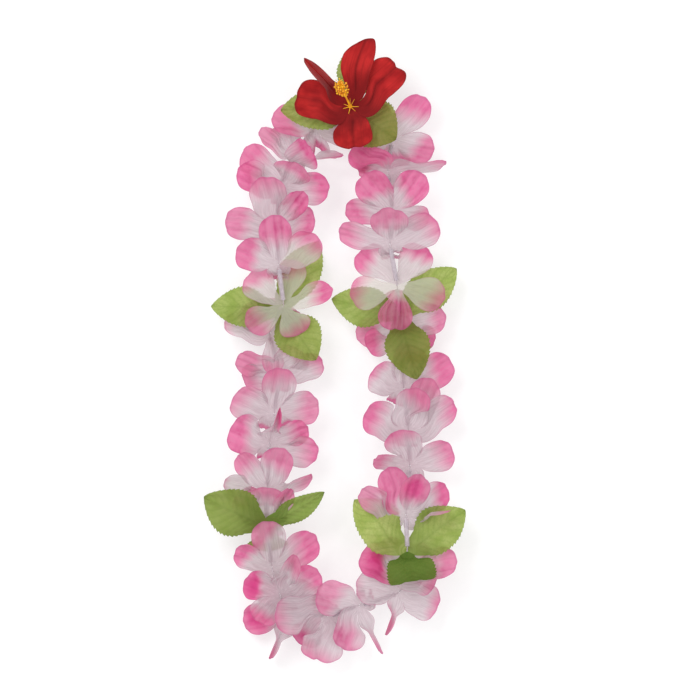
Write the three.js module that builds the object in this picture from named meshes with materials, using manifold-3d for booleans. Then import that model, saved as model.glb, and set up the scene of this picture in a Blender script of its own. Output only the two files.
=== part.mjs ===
// A fabric flower lei, lying flat in a long closed loop: 29 five-petal blooms and four sets of
// three leaves threaded on one cord, kept apart by plastic tubes, and at the top a red hibiscus
// with three leaves behind it and a yellow stamen.
// Millimetres. X is to the right, Y towards the hibiscus, Z up from the surface it lies on.
import * as THREE from 'three';
import { mergeVertices } from 'three/addons/utils/BufferGeometryUtils.js';
import Module from 'manifold-3d';

const wasm = await Module();
wasm.setup();
const { Manifold, Mesh } = wasm;

// ---- driving dimensions
const CLOTH = 0.8; // thickness of petals and leaves
const HUB_RADIUS = 8;
const HUB_HOLE = 1.9; // radius of the hole that the thread runs through
// Blades: roll, fold and bend are in degrees, sway is how far the middle line bows to the left,
// and full makes the blade widen sooner where it is lower.
const PETAL = { length: 34.5, width: 31, roll: 0, fold: 8, bend: -14, sway: 0, full: 0.9 };
const LEAF = { length: 53.5, width: 38, roll: 0, fold: 8, bend: -16, sway: 0 };
const RED_PETAL = { length: 42.5, width: 31, roll: 0, fold: 8, bend: -18, sway: 0, full: 0.65 };
const LEAF_TEETH = 5; // on each side of a leaf
const TOOTH = 0.14; // how deep a leaf's teeth are cut, as a share of its half width
const THREAD_RADIUS = 0.5;
const TUBE_RADIUS = 2.1;
const TUBE_BORE = 1.3;
const THROUGH = 3.6; // how far the thread runs square to a bloom on each side of its hub
const SQUARE = 0.9; // how strongly the thread turns square to the bloom there
const TUBE_GAP = 1.2; // between a tube's end and the bend of the thread
const CLEARANCE = 0.3; // kept round a neighbour that a petal is notched for
const FINEST = 0.02; // finer detail than this is left out of a notch
const STALK_RADIUS = 1.2; // the stamen's stalk, which holds the hibiscus on its leaves
const STALK_FOOT = 19; // height of the stalk's lower end
const FOOT = { radius: 3.2, under: 1, over: 0.5 }; // the disc that ends the stalk
const LOOP_RADIUS = 2.3; // the thread's loop round the stalk
const CENTRE = [-1.8, -2.2]; // middle of the loop's outline, which becomes the origin

const TURN = 2 * Math.PI;
const rad = (degrees) => (degrees * Math.PI) / 180;

// Heading is the direction seen from above, in degrees from +X, and rise is the angle above level.
function direction(heading, rise) {
  const level = Math.cos(rad(rise));
  return new THREE.Vector3(
    level * Math.cos(rad(heading)), level * Math.sin(rad(heading)), Math.sin(rad(rise)));
}

// ---- the stops along the thread, from the hibiscus down the left side and up the right one.
// faces: where the bloom's open side looks, [heading, rise].
// petals, leaves: [heading, rise, how it differs from a plain one]; long and wide are shares.
// tube: a tube lies between this stop and the one before. under: neighbours it is notched round.
const stops = [
  { name: 'bloom_01', hub: [-16, 194, 16], faces: [50, 60],
    under: ['bloom_02', 'bloom_28', 'bloom_29', 'tube_01'],
    petals: [[169, 6, { long: 0.91, wide: 0.95 }], [342, 4, { long: 0.74, wide: 0.75 }],
      [95, -22, { long: 0.7 }], [45, -22, { long: 0.7 }], [248, -50, { long: 0.45, fold: 60 }]] },
  { name: 'bloom_02', hub: [-36, 168, 24], faces: [60, 45], tube: true, under: ['tube_01'],
    petals: [[141, 10, { long: 0.86, wide: 0.74 }], [41, 58, { roll: -60 }],
      [4, 2, { long: 1.02, roll: -68, wide: 0.8 }], [115, -28, { long: 0.7 }],
      [262, -50, { long: 0.5, wide: 0.6 }]] },
  { name: 'bloom_03', hub: [-47, 142, 26], faces: [270, 66], tube: true,
    petals: [[159, 14, { long: 0.95 }], [132, -10, { long: 1.1 }],
      [52, 46, { long: 0.69, wide: 1.15 }], [357, 8, { long: 0.98, wide: 1.05 }],
      [270, -60, { long: 0.5, wide: 0.6 }]] },
  { name: 'bloom_04', hub: [-51, 109, 27], faces: [270, 60], tube: true,
    petals: [[177, 3, { long: 1.06, wide: 1.1 }], [105, 20, { long: 1.07, wide: 1.08 }],
      [50, 30, { long: 0.97, fold: 25, wide: 0.8 }], [10, 4, { long: 0.74 }],
      [255, -70, { long: 0.5, wide: 0.6 }]] },
  { name: 'bloom_05', hub: [-49, 73, 34], faces: [270, 60], tube: true,
    under: ['bloom_06', 'bloom_07', 'leaves_left_upper'],
    petals: [[156, 14, { long: 0.91, wide: 1.12 }], [96, 20, { long: 1.11, wide: 0.95 }],
      [36, 14, { wide: 1.08 }], [214, -89, { long: 0.35, wide: 0.6 }],
      [266, -61, { long: 0.35, wide: 0.6 }]] },
  { name: 'bloom_06', hub: [-45, 38, 31], faces: [90, 80], tube: true, under: ['tube_05'],
    petals: [[142, -16, { long: 0.96, full: 1.2 }],
      [75, -20, { long: 0.98, wide: 0.85, full: 1.2 }],
      [18, -6, { long: 1.05, wide: 0.7, full: 1.2 }],
      [298, 4, { long: 0.63, wide: 0.95, full: 1.2 }],
      [215, 2, { long: 0.84, wide: 0.9, full: 1.2 }]] },
  { name: 'leaves_left_upper', hub: [-48, 34, 25], faces: [90, 80],
    leaves: [[178, -8], [60, -24, { long: 1.25 }], [305, 10, { long: 0.9, wide: 1.15 }]] },
  { name: 'bloom_07', hub: [-57, 13, 17], faces: [90, 70],
    petals: [[166, 1, { long: 0.94, wide: 0.75 }], [276, 18, { long: 0.89, wide: 0.62 }],
      [26, -18, { long: 0.7 }], [95, -21, { long: 0.7 }], [133, 0, { long: 0.7 }]] },
  { name: 'bloom_08', hub: [-49, -23, 20], faces: [270, 62], tube: true, under: ['bloom_07'],
    petals: [[159, 8, { long: 0.9, wide: 0.8 }], [184, -16, { long: 0.72, wide: 0.9 }],
      [51, 7, { long: 0.58, wide: 1.05 }], [15, 10, { long: 0.93, wide: 0.9 }],
      [279, -60, { long: 0.5, wide: 0.6 }]] },
  { name: 'bloom_09', hub: [-53, -58, 25], faces: [270, 62], tube: true,
    petals: [[157, 20, { long: 0.93, wide: 1.12 }], [81, 26, { long: 1.05 }],
      [14, 9, { long: 0.91, wide: 1.12 }], [230, -56, { long: 0.5, wide: 0.6 }],
      [326, -66, { long: 0.5, wide: 0.6 }]] },
  { name: 'bloom_10', hub: [-57, -84, 26], faces: [270, 62],
    petals: [[157, 8, { long: 0.83, wide: 1.3 }], [74, 30, { long: 0.84, fold: 78 }],
      [23, 13, { long: 0.83, wide: 0.8 }], [346, -1, { wide: 1.05 }],
      [255, -65, { long: 0.5, wide: 0.6 }]] },
  { name: 'bloom_11', hub: [-59, -125, 26], faces: [270, 62], tube: true,
    petals: [[128, 15, { long: 0.95, wide: 0.75 }], [72, 25, { long: 0.98, wide: 0.95 }],
      [20, 12, { long: 0.98, fold: 72 }], [171, 1, { long: 0.87, wide: 0.75 }],
      [276, -65, { long: 0.5, wide: 0.6 }]] },
  { name: 'bloom_12', hub: [-60, -153, 25], faces: [270, 60], tube: true, under: ['bloom_11'],
    petals: [[94, 10, { long: 0.66, wide: 1.12 }], [54, 20, { long: 0.87, fold: 45, wide: 0.75 }],
      [129, -13, { long: 0.8 }], [215, -72, { long: 0.5, wide: 0.6 }],
      [304, -57, { long: 0.5, wide: 0.6 }]] },
  { name: 'leaves_left_lower', hub: [-60, -158, 32], faces: [270, 72],
    under: ['bloom_12', 'bloom_13', 'bloom_14', 'bloom_15', 'tube_10'],
    leaves: [[154, 4, { wide: 1.25 }], [31, 8, { long: 0.98, wide: 0.62 }],
      [274, -60, { long: 0.5 }]] },
  { name: 'bloom_13', hub: [-55, -193, 27], faces: [270, 62], tube: true,
    under: ['bloom_15', 'bloom_16'],
    petals: [[96, 19], [156, 13, { long: 0.8, wide: 0.8 }], [35, 6, { long: 1.12, wide: 1.05 }],
      [234, -52, { long: 0.5, wide: 0.6 }], [312, -65, { long: 0.5, wide: 0.6 }]] },
  { name: 'bloom_14', hub: [-48, -217, 28], faces: [270, 68],
    under: ['bloom_15', 'bloom_16', 'thread'],
    petals: [[158, 12, { long: 0.73, wide: 0.95 }], [69, 26, { long: 0.95, fold: 55, wide: 0.95 }],
      [28, 13, { long: 0.93, wide: 0.97 }], [229, -6, { long: 0.67, wide: 0.9 }],
      [300, -50, { long: 0.5, wide: 0.6 }]] },
  { name: 'bloom_15', hub: [-40, -233, 14], faces: [270, 74], under: ['bloom_16', 'thread'],
    petals: [[191, -3, { long: 0.94, wide: 0.95 }], [247, -8, { long: 1.03, fold: 80 }],
      [126, -13, { long: 0.7 }], [50, -14, { long: 0.7 }], [329, -10, { long: 0.6 }]] },
  { name: 'bloom_16', hub: [-6, -236, 24], faces: [340, 62], tube: true,
    under: ['tube_12', 'bloom_17'],
    petals: [[178, 8, { long: 1.13, wide: 1.14 }], [257, 4, { long: 0.94, wide: 1.35 }],
      [215, -16, { long: 0.81 }], [105, -58, { long: 0.35, wide: 0.6 }],
      [335, -68, { long: 0.35, wide: 0.6 }]] },
  { name: 'bloom_17', hub: [22, -227, 23], faces: [340, 60], tube: true,
    under: ['tube_13', 'bloom_18'],
    petals: [[165, 12, { long: 0.94, wide: 1.05 }], [249, 5, { long: 0.94, wide: 1.1 }],
      [296, -7, { long: 1.14, roll: 98, wide: 0.6 }], [42, -52, { long: 0.35, wide: 0.6 }],
      [118, -70, { long: 0.35, wide: 0.6 }]] },
  { name: 'bloom_18', hub: [57, -215, 21], faces: [30, 72], tube: true, under: ['tube_13'],
    petals: [[172, 11, { long: 0.88, wide: 1.05 }], [251, 2, { long: 0.91, fold: 80, wide: 0.8 }],
      [337, -5, { long: 0.82, wide: 1.1 }], [45, -30, { long: 0.5, wide: 0.6 }],
      [108, -35, { long: 0.6 }]] },
  { name: 'bloom_19', hub: [60, -196, 27], faces: [90, 72], under: ['bloom_20'],
    petals: [[162, 4, { long: 0.89, wide: 1.05 }], [11, 12, { long: 1.18, wide: 0.95 }],
      [332, -8, { long: 0.67, wide: 0.9 }], [130, -16, { long: 0.7 }], [26, -16, { long: 0.7 }]] },
  { name: 'leaves_right_lower', hub: [64, -179, 33], faces: [90, 78], under: ['bloom_20'],
    leaves: [[136, -8, { long: 1.08, wide: 1.15 }], [35, -8, { long: 1.03, wide: 1.15 }],
      [280, 12, { bend: -200, long: 0.64, wide: 1.3 }]] },
  { name: 'bloom_20', hub: [63, -147, 30], faces: [270, 60], tube: true,
    petals: [[153, 10, { long: 1.08, wide: 0.85 }], [111, 17, { long: 1.1, wide: 0.9 }],
      [70, 40, { long: 1.1, wide: 0.85 }], [36, -10, { long: 1.02, wide: 0.95 }],
      [3, 20, { long: 0.93, roll: 66, wide: 0.8 }]] },
  { name: 'bloom_21', hub: [66, -104, 26], faces: [270, 60], tube: true,
    petals: [[169, 23, { long: 0.71, roll: -30 }], [104, 24, { long: 0.78, wide: 1.1 }],
      [21, 7, { long: 0.94, wide: 1.05 }], [221, -70, { long: 0.5, wide: 0.6 }],
      [297, -56, { long: 0.5, wide: 0.6 }]] },
  { name: 'bloom_22', hub: [65, -73, 27], faces: [270, 60], tube: true,
    petals: [[154, 10, { long: 0.96, wide: 1.2 }], [81, 30], [68, -2, { long: 1.2, wide: 0.95 }],
      [34, -2, { long: 1.13, wide: 1 }], [267, -65, { long: 0.5, wide: 0.6 }]] },
  { name: 'bloom_23', hub: [61, -36, 22], faces: [270, 64], tube: true,
    petals: [[150, 7, { long: 0.68, wide: 1.12 }], [32, -1, { long: 1.15, wide: 1.1 }],
      [332, -20, { long: 0.55 }], [233, -61, { long: 0.5, wide: 0.6 }], [79, -4, { long: 0.9 }]] },
  { name: 'bloom_24', hub: [58, 15, 15], faces: [270, 80], tube: true, under: ['thread'],
    petals: [[183, -7, { long: 0.89, wide: 0.85 }], [207, 4, { long: 0.72, wide: 0.85 }],
      [21, 6, { long: 0.96, wide: 0.9 }], [343, -9, { long: 0.68, wide: 0.8 }],
      [100, -10, { long: 0.8 }]] },
  { name: 'leaves_right_upper', hub: [57, 29, 24], faces: [270, 84],
    leaves: [[167, -3], [39, -8, { long: 1.07 }], [285, 12, { long: 0.98, wide: 1.1 }]] },
  { name: 'bloom_25', hub: [55, 55, 31], faces: [90, 82], tube: true, under: ['tube_20'],
    petals: [[137, -18, { long: 1.09, wide: 1.02, full: 1.2 }], [54, -18, { full: 1.2 }],
      [195, -4, { long: 0.96, full: 1.2 }], [343, -3, { full: 1.2 }],
      [267, 3, { long: 0.92, full: 1.2 }]] },
  { name: 'bloom_26', hub: [49, 91, 33], faces: [270, 60], tube: true, under: ['bloom_25'],
    petals: [[163, 0, { long: 1.11, wide: 0.85 }], [92, 44, { long: 0.97, wide: 1.1 }],
      [26, 9, { long: 1.09, wide: 1.15 }], [275, -61, { long: 0.35, wide: 0.6 }],
      [326, -88, { long: 0.35, wide: 0.6 }]] },
  { name: 'bloom_27', hub: [51, 120, 25], faces: [270, 70], tube: true, under: ['bloom_26'],
    petals: [[128, 12, { long: 0.97, wide: 1.05 }], [53, 12], [178, -10, { long: 0.97, wide: 0.8 }],
      [347, -12, { long: 0.72, wide: 0.8 }], [270, -60, { long: 0.5, wide: 0.6 }]] },
  { name: 'bloom_28', hub: [47, 155, 22], faces: [270, 60], tube: true, under: ['bloom_29'],
    petals: [[145, 7, { long: 0.86, wide: 0.95 }], [9, 8, { long: 1.26, roll: 38, wide: 0.85 }],
      [170, -20, { long: 0.58, wide: 0.6 }], [213, -65, { long: 0.5, wide: 0.6 }],
      [315, -55, { long: 0.5, wide: 0.6 }]] },
  { name: 'bloom_29', hub: [49, 182, 20], faces: [270, 66], tube: true, under: ['leaves_top'],
    petals: [[52, 6, { long: 1.18, wide: 0.95 }], [347, 2, { long: 0.89 }],
      [215, -12, { long: 0.9 }], [120, 4, { long: 0.8 }], [280, -30, { long: 0.55 }]] },
];

const topHub = [14, 212];
const hibiscusStop = { name: 'hibiscus', hub: [...topHub, 41], faces: [120, 84],
  petals: [[77, 6, { long: 1.28, sway: 3 }], [41, 2, { long: 1.1, wide: 1.2 }],
      [275, 0, { long: 0.66, wide: 1.2 }], [169, 2, { long: 0.94, wide: 1.25 }],
      [134, 14, { long: 1.19, fold: 76, wide: 0.8 }]] };
const leavesTop = { name: 'leaves_top', hub: [...topHub, 35], faces: [90, 88],
  leaves: [[183, -3], [324, 0, { long: 0.78, wide: 1.25 }], [84, -4, { long: 0.91, wide: 0.85 }]] };

// ---- a thin sheet: a hub's middle surface and its blades', which are given a thickness
function squareTo(points, triangles) {
  const normals = points.map(() => new THREE.Vector3());
  for (const [a, b, c] of triangles) {
    const ab = points[b].clone().sub(points[a]);
    const square = ab.cross(points[c].clone().sub(points[a]));
    for (const corner of [a, b, c]) normals[corner].add(square);
  }
  return normals.map((normal) => normal.normalize());
}

// The closed surface round some of the sheet's triangles, with an edge all round.
function closedSkin(upper, lower, triangles) {
  const index = [];
  const count = upper.length;
  const edges = new Map();
  for (const [a, b, c] of triangles) {
    index.push(a, b, c, a + count, c + count, b + count);
    for (const [from, to] of [[a, b], [b, c], [c, a]]) {
      if (!edges.delete(`${to} ${from}`)) edges.set(`${from} ${to}`, [from, to]);
    }
  }
  for (const [from, to] of edges.values()) {
    index.push(to, from, from + count, to, from + count, to + count);
  }
  const geometry = new THREE.BufferGeometry().setFromPoints([...upper, ...lower]);
  geometry.setIndex(index);
  return geometry;
}

// The sheet's body. Each blade is closed together with the hub, and they are then joined, so that
// blades that cross run into each other cleanly.
function thicken({ points, hub, blades }, half) {
  const normals = squareTo(points, [...hub, ...blades.flat()]);
  const upper = points.map((p, i) => p.clone().addScaledVector(normals[i], half));
  const lower = points.map((p, i) => p.clone().addScaledVector(normals[i], -half));
  return Manifold.union(blades.map((blade) => toSolid(closedSkin(upper, lower, [...hub, ...blade]))));
}

// Nothing lies below the surface that the lei rests on.
function aboveTable(point) {
  point.z = Math.max(point.z, CLOTH / 2);
  return point;
}

// ---- a rosette: blades cut in one piece round a hub with a hole, that faces along an axis
function frameOf({ hub, faces: [heading, rise] }) {
  const axis = direction(heading, rise);
  const across = new THREE.Vector3(0, 0, 1).cross(axis).normalize();
  return { axis, across, up: axis.clone().cross(across), hub: new THREE.Vector3(...hub) };
}

// A blade's place round the hub and how far it stands up from the hub's plane, in radians.
function placeAround(frame, kind, [heading, rise, unlike]) {
  const way = direction(heading, rise);
  const around = (Math.atan2(way.dot(frame.up), way.dot(frame.across)) + TURN) % TURN;
  return { long: 1, wide: 1, ...kind, ...unlike, around, stand: Math.asin(way.dot(frame.axis)) };
}

// The blades in their order round the hub, with their roots spread evenly.
function placeBlades(frame, kind, blades) {
  const placed = blades.map((blade) => placeAround(frame, kind, blade));
  placed.sort((a, b) => a.around - b.around);
  const step = TURN / placed.length;
  const spin = placed.reduce((sum, blade, i) => sum + blade.around - i * step, 0) / placed.length;
  placed.forEach((blade, i) => {
    blade.root = spin + i * step;
  });
  return placed;
}

const smooth = (x) => x * x * (3 - 2 * x);

// A point of a blade: along runs from root to tip, and across is a signed half width.
function bladePoint(frame, blade, along, across) {
  const length = blade.length * blade.long;
  const turned = smooth(Math.min(1, along / 0.5));
  const angle = blade.root + (blade.around - blade.root) * turned;
  const bent = rad(blade.bend);
  const start = blade.stand - bent / 2;
  const now = start + bent * along;
  const out = HUB_RADIUS + (length * (Math.sin(now) - Math.sin(start))) / bent;
  const lift = (-length * (Math.cos(now) - Math.cos(start))) / bent;
  const outward = frame.across.clone().multiplyScalar(Math.cos(angle))
    .addScaledVector(frame.up, Math.sin(angle));
  const side = frame.axis.clone().cross(outward);
  const face = outward.clone().multiplyScalar(-Math.sin(now))
    .addScaledVector(frame.axis, Math.cos(now));
  const folded = rad(blade.fold * turned);
  const bow = blade.sway * Math.sin(Math.PI * along);
  const sideways = across * Math.cos(folded) + bow;
  const raised = Math.abs(across) * Math.sin(folded);
  const tilt = rad(blade.roll * turned);
  return frame.hub.clone()
    .addScaledVector(outward, out)
    .addScaledVector(frame.axis, lift)
    .addScaledVector(side, sideways * Math.cos(tilt) - raised * Math.sin(tilt))
    .addScaledVector(face, sideways * Math.sin(tilt) + raised * Math.cos(tilt));
}

function hubSheet(frame, start, sides) {
  const sheet = { points: [], hub: [], blades: [] };
  for (const radius of [HUB_HOLE, HUB_RADIUS]) {
    for (let i = 0; i < sides; i += 1) {
      const angle = start + (TURN * i) / sides;
      sheet.points.push(frame.hub.clone()
        .addScaledVector(frame.across, radius * Math.cos(angle))
        .addScaledVector(frame.up, radius * Math.sin(angle)));
    }
  }
  for (let i = 0; i < sides; i += 1) {
    const next = (i + 1) % sides;
    sheet.hub.push([i, sides + i, sides + next], [i, sides + next, next]);
  }
  return sheet;
}

// Adds three points across the newest blade and joins them to the row before; returns the new row.
function joinRow(sheet, row, points) {
  const start = sheet.points.length;
  const next = [start, start + 1, start + 2];
  sheet.points.push(...points);
  sheet.blades.at(-1).push([row[0], next[0], row[1]], [row[1], next[0], next[1]],
    [row[1], next[1], next[2]], [row[1], next[2], row[2]]);
  return next;
}

// ---- petals
const PETAL_ROWS = [0.3, 0.58, 0.84, 1];
const PETAL_ROOT = HUB_RADIUS * Math.sin(rad(36));
const WIDEST = 0.64; // where along a petal it is widest
const ROUNDING = 0.39; // from there to the round tip's end

// Half a petal's width, from its narrow root at 0 to its round tip at 1.
function halfPetal(along, { width, wide, full }) {
  const half = (width * wide) / 2;
  if (along > WIDEST) return half * Math.sqrt(1 - ((along - WIDEST) / ROUNDING) ** 2);
  const grown = Math.sin((Math.PI / 2) * (along / WIDEST)) ** full;
  return PETAL_ROOT + (half - PETAL_ROOT) * grown;
}

function petalSheet(stop, kind, growth) {
  const frame = frameOf(stop);
  const petals = placeBlades(frame, kind, stop.petals);
  const sides = 2 * petals.length;
  const sheet = hubSheet(frame, petals[0].root - Math.PI / petals.length, sides);
  petals.forEach((petal, i) => {
    let row = [2 * i, 2 * i + 1, (2 * i + 2) % sides].map((k) => sides + k);
    sheet.blades.push([]);
    for (const along of PETAL_ROWS) {
      const half = growth + halfPetal(along, petal);
      row = joinRow(sheet, row, [-half, 0, half]
        .map((across) => bladePoint(frame, petal, along + growth / petal.length, across)));
    }
  });
  return sheet;
}

// ---- leaves with toothed edges
const LEAF_SHAPE = { early: 0.8, round: 0.75, root: 0.12 }; // how soon and how fully it widens
const NOTCH_AT = 0.72; // where in a tooth's length its point lies
const BARE_TIP = 0.35; // length of the leaf's bare tip, in teeth

function halfLeaf(along, half) {
  const { early, round, root } = LEAF_SHAPE;
  return half * Math.max(Math.sin(Math.PI * along ** early) ** round, root);
}

function leafSheet(stop, kind, growth) {
  const frame = frameOf(stop);
  const leaves = placeBlades(frame, kind, stop.leaves);
  const sides = 4 * leaves.length;
  const sheet = hubSheet(frame, leaves[0].root - Math.PI / leaves.length, sides);
  leaves.forEach((leaf, i) => {
    let row = [4 * i + 1, 4 * i + 2, 4 * i + 3].map((k) => sides + (k % sides));
    sheet.blades.push([]);
    for (let tooth = 0; tooth < LEAF_TEETH; tooth += 1) {
      for (const [share, cut] of [[NOTCH_AT, 0], [1, TOOTH]]) {
        const along = (tooth + share) / (LEAF_TEETH + BARE_TIP);
        const half = growth + halfLeaf(along, (leaf.width * leaf.wide) / 2) * (1 - cut);
        row = joinRow(sheet, row, [-half, 0, half]
          .map((across) => bladePoint(frame, leaf, along, across)));
      }
    }
    sheet.points.push(bladePoint(frame, leaf, 1 + growth / leaf.length, 0));
    const tip = sheet.points.length - 1;
    sheet.blades.at(-1).push([row[0], tip, row[1]], [row[1], tip, row[2]]);
  });
  return sheet;
}

// The rosette's body, or with growth the slightly larger body that keeps others clear of it.
function rosetteSolid(stop, growth = 0) {
  let sheet;
  if (stop.leaves) sheet = leafSheet(stop, LEAF, growth);
  else sheet = petalSheet(stop, stop === hibiscusStop ? RED_PETAL : PETAL, growth);
  sheet.points.forEach(aboveTable);
  return thicken(sheet, CLOTH / 2 + growth);
}

// ---- bodies to cut and join
function toSolid(geometry) {
  const bare = geometry.clone();
  bare.deleteAttribute('normal');
  bare.deleteAttribute('uv');
  const welded = mergeVertices(bare, 1e-5);
  return new Manifold(new Mesh({
    numProp: 3,
    vertProperties: new Float32Array(welded.attributes.position.array),
    triVerts: new Uint32Array(welded.index.array),
  }));
}

function toGeometry(solid) {
  const mesh = solid.getMesh();
  const geometry = new THREE.BufferGeometry();
  geometry.setAttribute('position', new THREE.BufferAttribute(mesh.vertProperties, 3));
  geometry.setIndex(new THREE.BufferAttribute(mesh.triVerts, 1));
  return geometry;
}

// The body without the parts of it that others take up; loose scraps are dropped.
function notched(solid, others) {
  const pieces = solid.subtract(Manifold.union(others)).decompose();
  return pieces.sort((a, b) => b.volume() - a.volume())[0].simplify(FINEST);
}

// ---- the thread, which runs square through every hub and straight through every tube
class Route extends THREE.Curve {
  constructor(knots) {
    super();
    this.knots = knots;
  }

  getPoint(share, target = new THREE.Vector3()) {
    const place = Math.min(Math.max(share, 0), 1) * (this.knots.length - 1);
    const knot = Math.min(Math.floor(place), this.knots.length - 2);
    return target.lerpVectors(this.knots[knot], this.knots[knot + 1], place - knot);
  }

  // Steps fall on the knots, so that each bend of the thread is where it should be.
  getUtoTmapping(share) {
    return share;
  }
}

function threadEnds(before, stop, after) {
  const hub = new THREE.Vector3(...stop.hub);
  const along = new THREE.Vector3(...after.hub).sub(new THREE.Vector3(...before.hub)).normalize();
  const axis = direction(...stop.faces);
  const way = along.clone().addScaledVector(axis, Math.sign(axis.dot(along)) * SQUARE).normalize();
  return {
    arrives: hub.clone().addScaledVector(way, -THROUGH),
    departs: hub.clone().addScaledVector(way, THROUGH),
  };
}

// The thread's knots in order; both its ends meet the loop round the stamen's stalk.
function threadKnots(tie) {
  const [x, y, z] = tie.hub;
  const knots = [new THREE.Vector3(x - LOOP_RADIUS, y, z)];
  stops.forEach((stop, i) => {
    Object.assign(stop, threadEnds(stops[i - 1] || tie, stop, stops[i + 1] || tie));
    knots.push(stop.arrives, stop.departs);
  });
  knots.push(new THREE.Vector3(x + LOOP_RADIUS, y, z));
  return knots;
}

function roundSection(radius, sides) {
  const corners = [];
  for (let i = 0; i < sides; i += 1) {
    const angle = (TURN * i) / sides;
    corners.push(new THREE.Vector2(radius * Math.cos(angle), radius * Math.sin(angle)));
  }
  return corners;
}

function threadSolid(tie, growth = 0) {
  const knots = threadKnots(tie);
  const section = new THREE.Shape(roundSection(THREAD_RADIUS + growth, 6));
  const run = new THREE.ExtrudeGeometry(section, {
    steps: knots.length - 1,
    extrudePath: new Route(knots),
    bevelEnabled: false,
  });
  const loop = new THREE.TorusGeometry(LOOP_RADIUS, THREAD_RADIUS, 6, 16);
  loop.translate(...tie.hub);
  return toSolid(run).add(toSolid(loop));
}

// ---- the tubes that keep the stops apart
function tubeGeometry(before, after, growth = 0) {
  const span = after.arrives.clone().sub(before.departs);
  const length = span.length() - 2 * TUBE_GAP;
  const ring = new THREE.Shape(roundSection(TUBE_RADIUS + growth, 8));
  if (growth === 0) ring.holes.push(new THREE.Path(roundSection(TUBE_BORE, 8)));
  const geometry = new THREE.ExtrudeGeometry(ring, { depth: length, bevelEnabled: false });
  span.normalize();
  const start = before.departs.clone().addScaledVector(span, TUBE_GAP);
  const turn = new THREE.Quaternion().setFromUnitVectors(new THREE.Vector3(0, 0, 1), span);
  return geometry.applyQuaternion(turn).translate(...start.toArray());
}

// ---- the stamen: a stalk with a foot, a star on the hibiscus and a leaning column of pollen
const STAR = { rays: 6, reach: 7, lift: 1.2, radius: 0.45, middle: 1.9, above: 2 };
const COLUMN = { lean: [115, 50], length: 33, radius: 0.9 };
const POLLEN = { rings: 3, each: 4, radius: 2.2, reach: 4.9, spacing: 4.6, first: 2, hair: 0.4 };
const STIGMA = { count: 5, reach: 3, beyond: 5, radius: 0.45 };

function rod(from, to, radius, sides) {
  const span = to.clone().sub(from);
  const geometry = new THREE.CylinderGeometry(radius, radius, span.length(), sides);
  const turn = new THREE.Quaternion()
    .setFromUnitVectors(new THREE.Vector3(0, 1, 0), span.clone().normalize());
  return toSolid(geometry.applyQuaternion(turn)
    .translate(...from.clone().addScaledVector(span, 0.5).toArray()));
}

function ball(centre, radius) {
  return toSolid(new THREE.IcosahedronGeometry(radius).translate(...centre.toArray()));
}

function stamenGeometry() {
  const [x, y, top] = hibiscusStop.hub;
  const at = (z) => new THREE.Vector3(x, y, z);
  const lean = direction(...COLUMN.lean);
  const root = at(top + STAR.above);
  const onColumn = (length) => root.clone().addScaledVector(lean, length);
  const side = new THREE.Vector3(0, 0, 1).cross(lean).normalize();
  const front = lean.clone().cross(side);
  const around = (centre, angle, reach) => centre.clone()
    .addScaledVector(side, reach * Math.cos(angle)).addScaledVector(front, reach * Math.sin(angle));
  const bodies = [
    rod(at(STALK_FOOT), root, STALK_RADIUS, 10),
    rod(at(STALK_FOOT - FOOT.under), at(STALK_FOOT + FOOT.over), FOOT.radius, 10),
    ball(root, STAR.middle),
    rod(root, onColumn(COLUMN.length), COLUMN.radius, 7),
  ];
  for (let i = 0; i < STAR.rays; i += 1) {
    const angle = (TURN * i) / STAR.rays;
    const ray = new THREE.Vector3(
      STAR.reach * Math.cos(angle), STAR.reach * Math.sin(angle), STAR.lift);
    bodies.push(rod(root, root.clone().add(ray), STAR.radius, 4));
  }
  for (let ring = 0; ring < POLLEN.rings; ring += 1) {
    const centre = onColumn(COLUMN.length - POLLEN.first - ring * POLLEN.spacing);
    for (let i = 0; i < POLLEN.each; i += 1) {
      const angle = (TURN * (i + ring / 2)) / POLLEN.each;
      const grain = around(centre, angle, POLLEN.reach);
      bodies.push(rod(centre, grain, POLLEN.hair, 3), ball(grain, POLLEN.radius));
    }
  }
  for (let i = 0; i < STIGMA.count; i += 1) {
    const angle = (TURN * i) / STIGMA.count;
    const tip = around(onColumn(COLUMN.length + STIGMA.beyond), angle, STIGMA.reach);
    bodies.push(rod(onColumn(COLUMN.length - 1), tip, STIGMA.radius, 4));
  }
  return toGeometry(Manifold.union(bodies));
}

// ---- materials
const fabric = (color) => new THREE.MeshStandardMaterial({ color, roughness: 0.7, metalness: 0 });
const plastic = (color) => new THREE.MeshStandardMaterial({ color, roughness: 0.4, metalness: 0 });
const pink = fabric('#e088b0');
const green = fabric('#a0b95a');
const red = fabric('#a81a1c');
const clear = plastic('#c8bcc4');
const white = fabric('#f0ecee');
const yellow = plastic('#d7901a');

function part(name, geometry, material) {
  const mesh = new THREE.Mesh(geometry, material);
  mesh.name = name;
  return mesh;
}

// ---- assembly
const lei = new THREE.Group();
lei.position.set(-CENTRE[0], -CENTRE[1], 0);

const tie = { hub: [...topHub, STALK_FOOT + 4] };
lei.add(part('thread', toGeometry(threadSolid(tie)), white));

// Every tube, under its name, as a function of its growth.
const tubes = new Map();
stops.forEach((stop, i) => {
  if (!stop.tube) return;
  const name = `tube_${String(tubes.size + 1).padStart(2, '0')}`;
  tubes.set(name, (growth) => tubeGeometry(stops[i - 1], stop, growth));
});

const rosettes = [...stops, leavesTop, hibiscusStop];

// The slightly larger body of the named neighbour.
function keepClear(name) {
  if (name === 'thread') return threadSolid(tie, CLEARANCE);
  if (tubes.has(name)) return toSolid(tubes.get(name)(CLEARANCE));
  return rosetteSolid(rosettes.find((stop) => stop.name === name), CLEARANCE);
}

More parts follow.
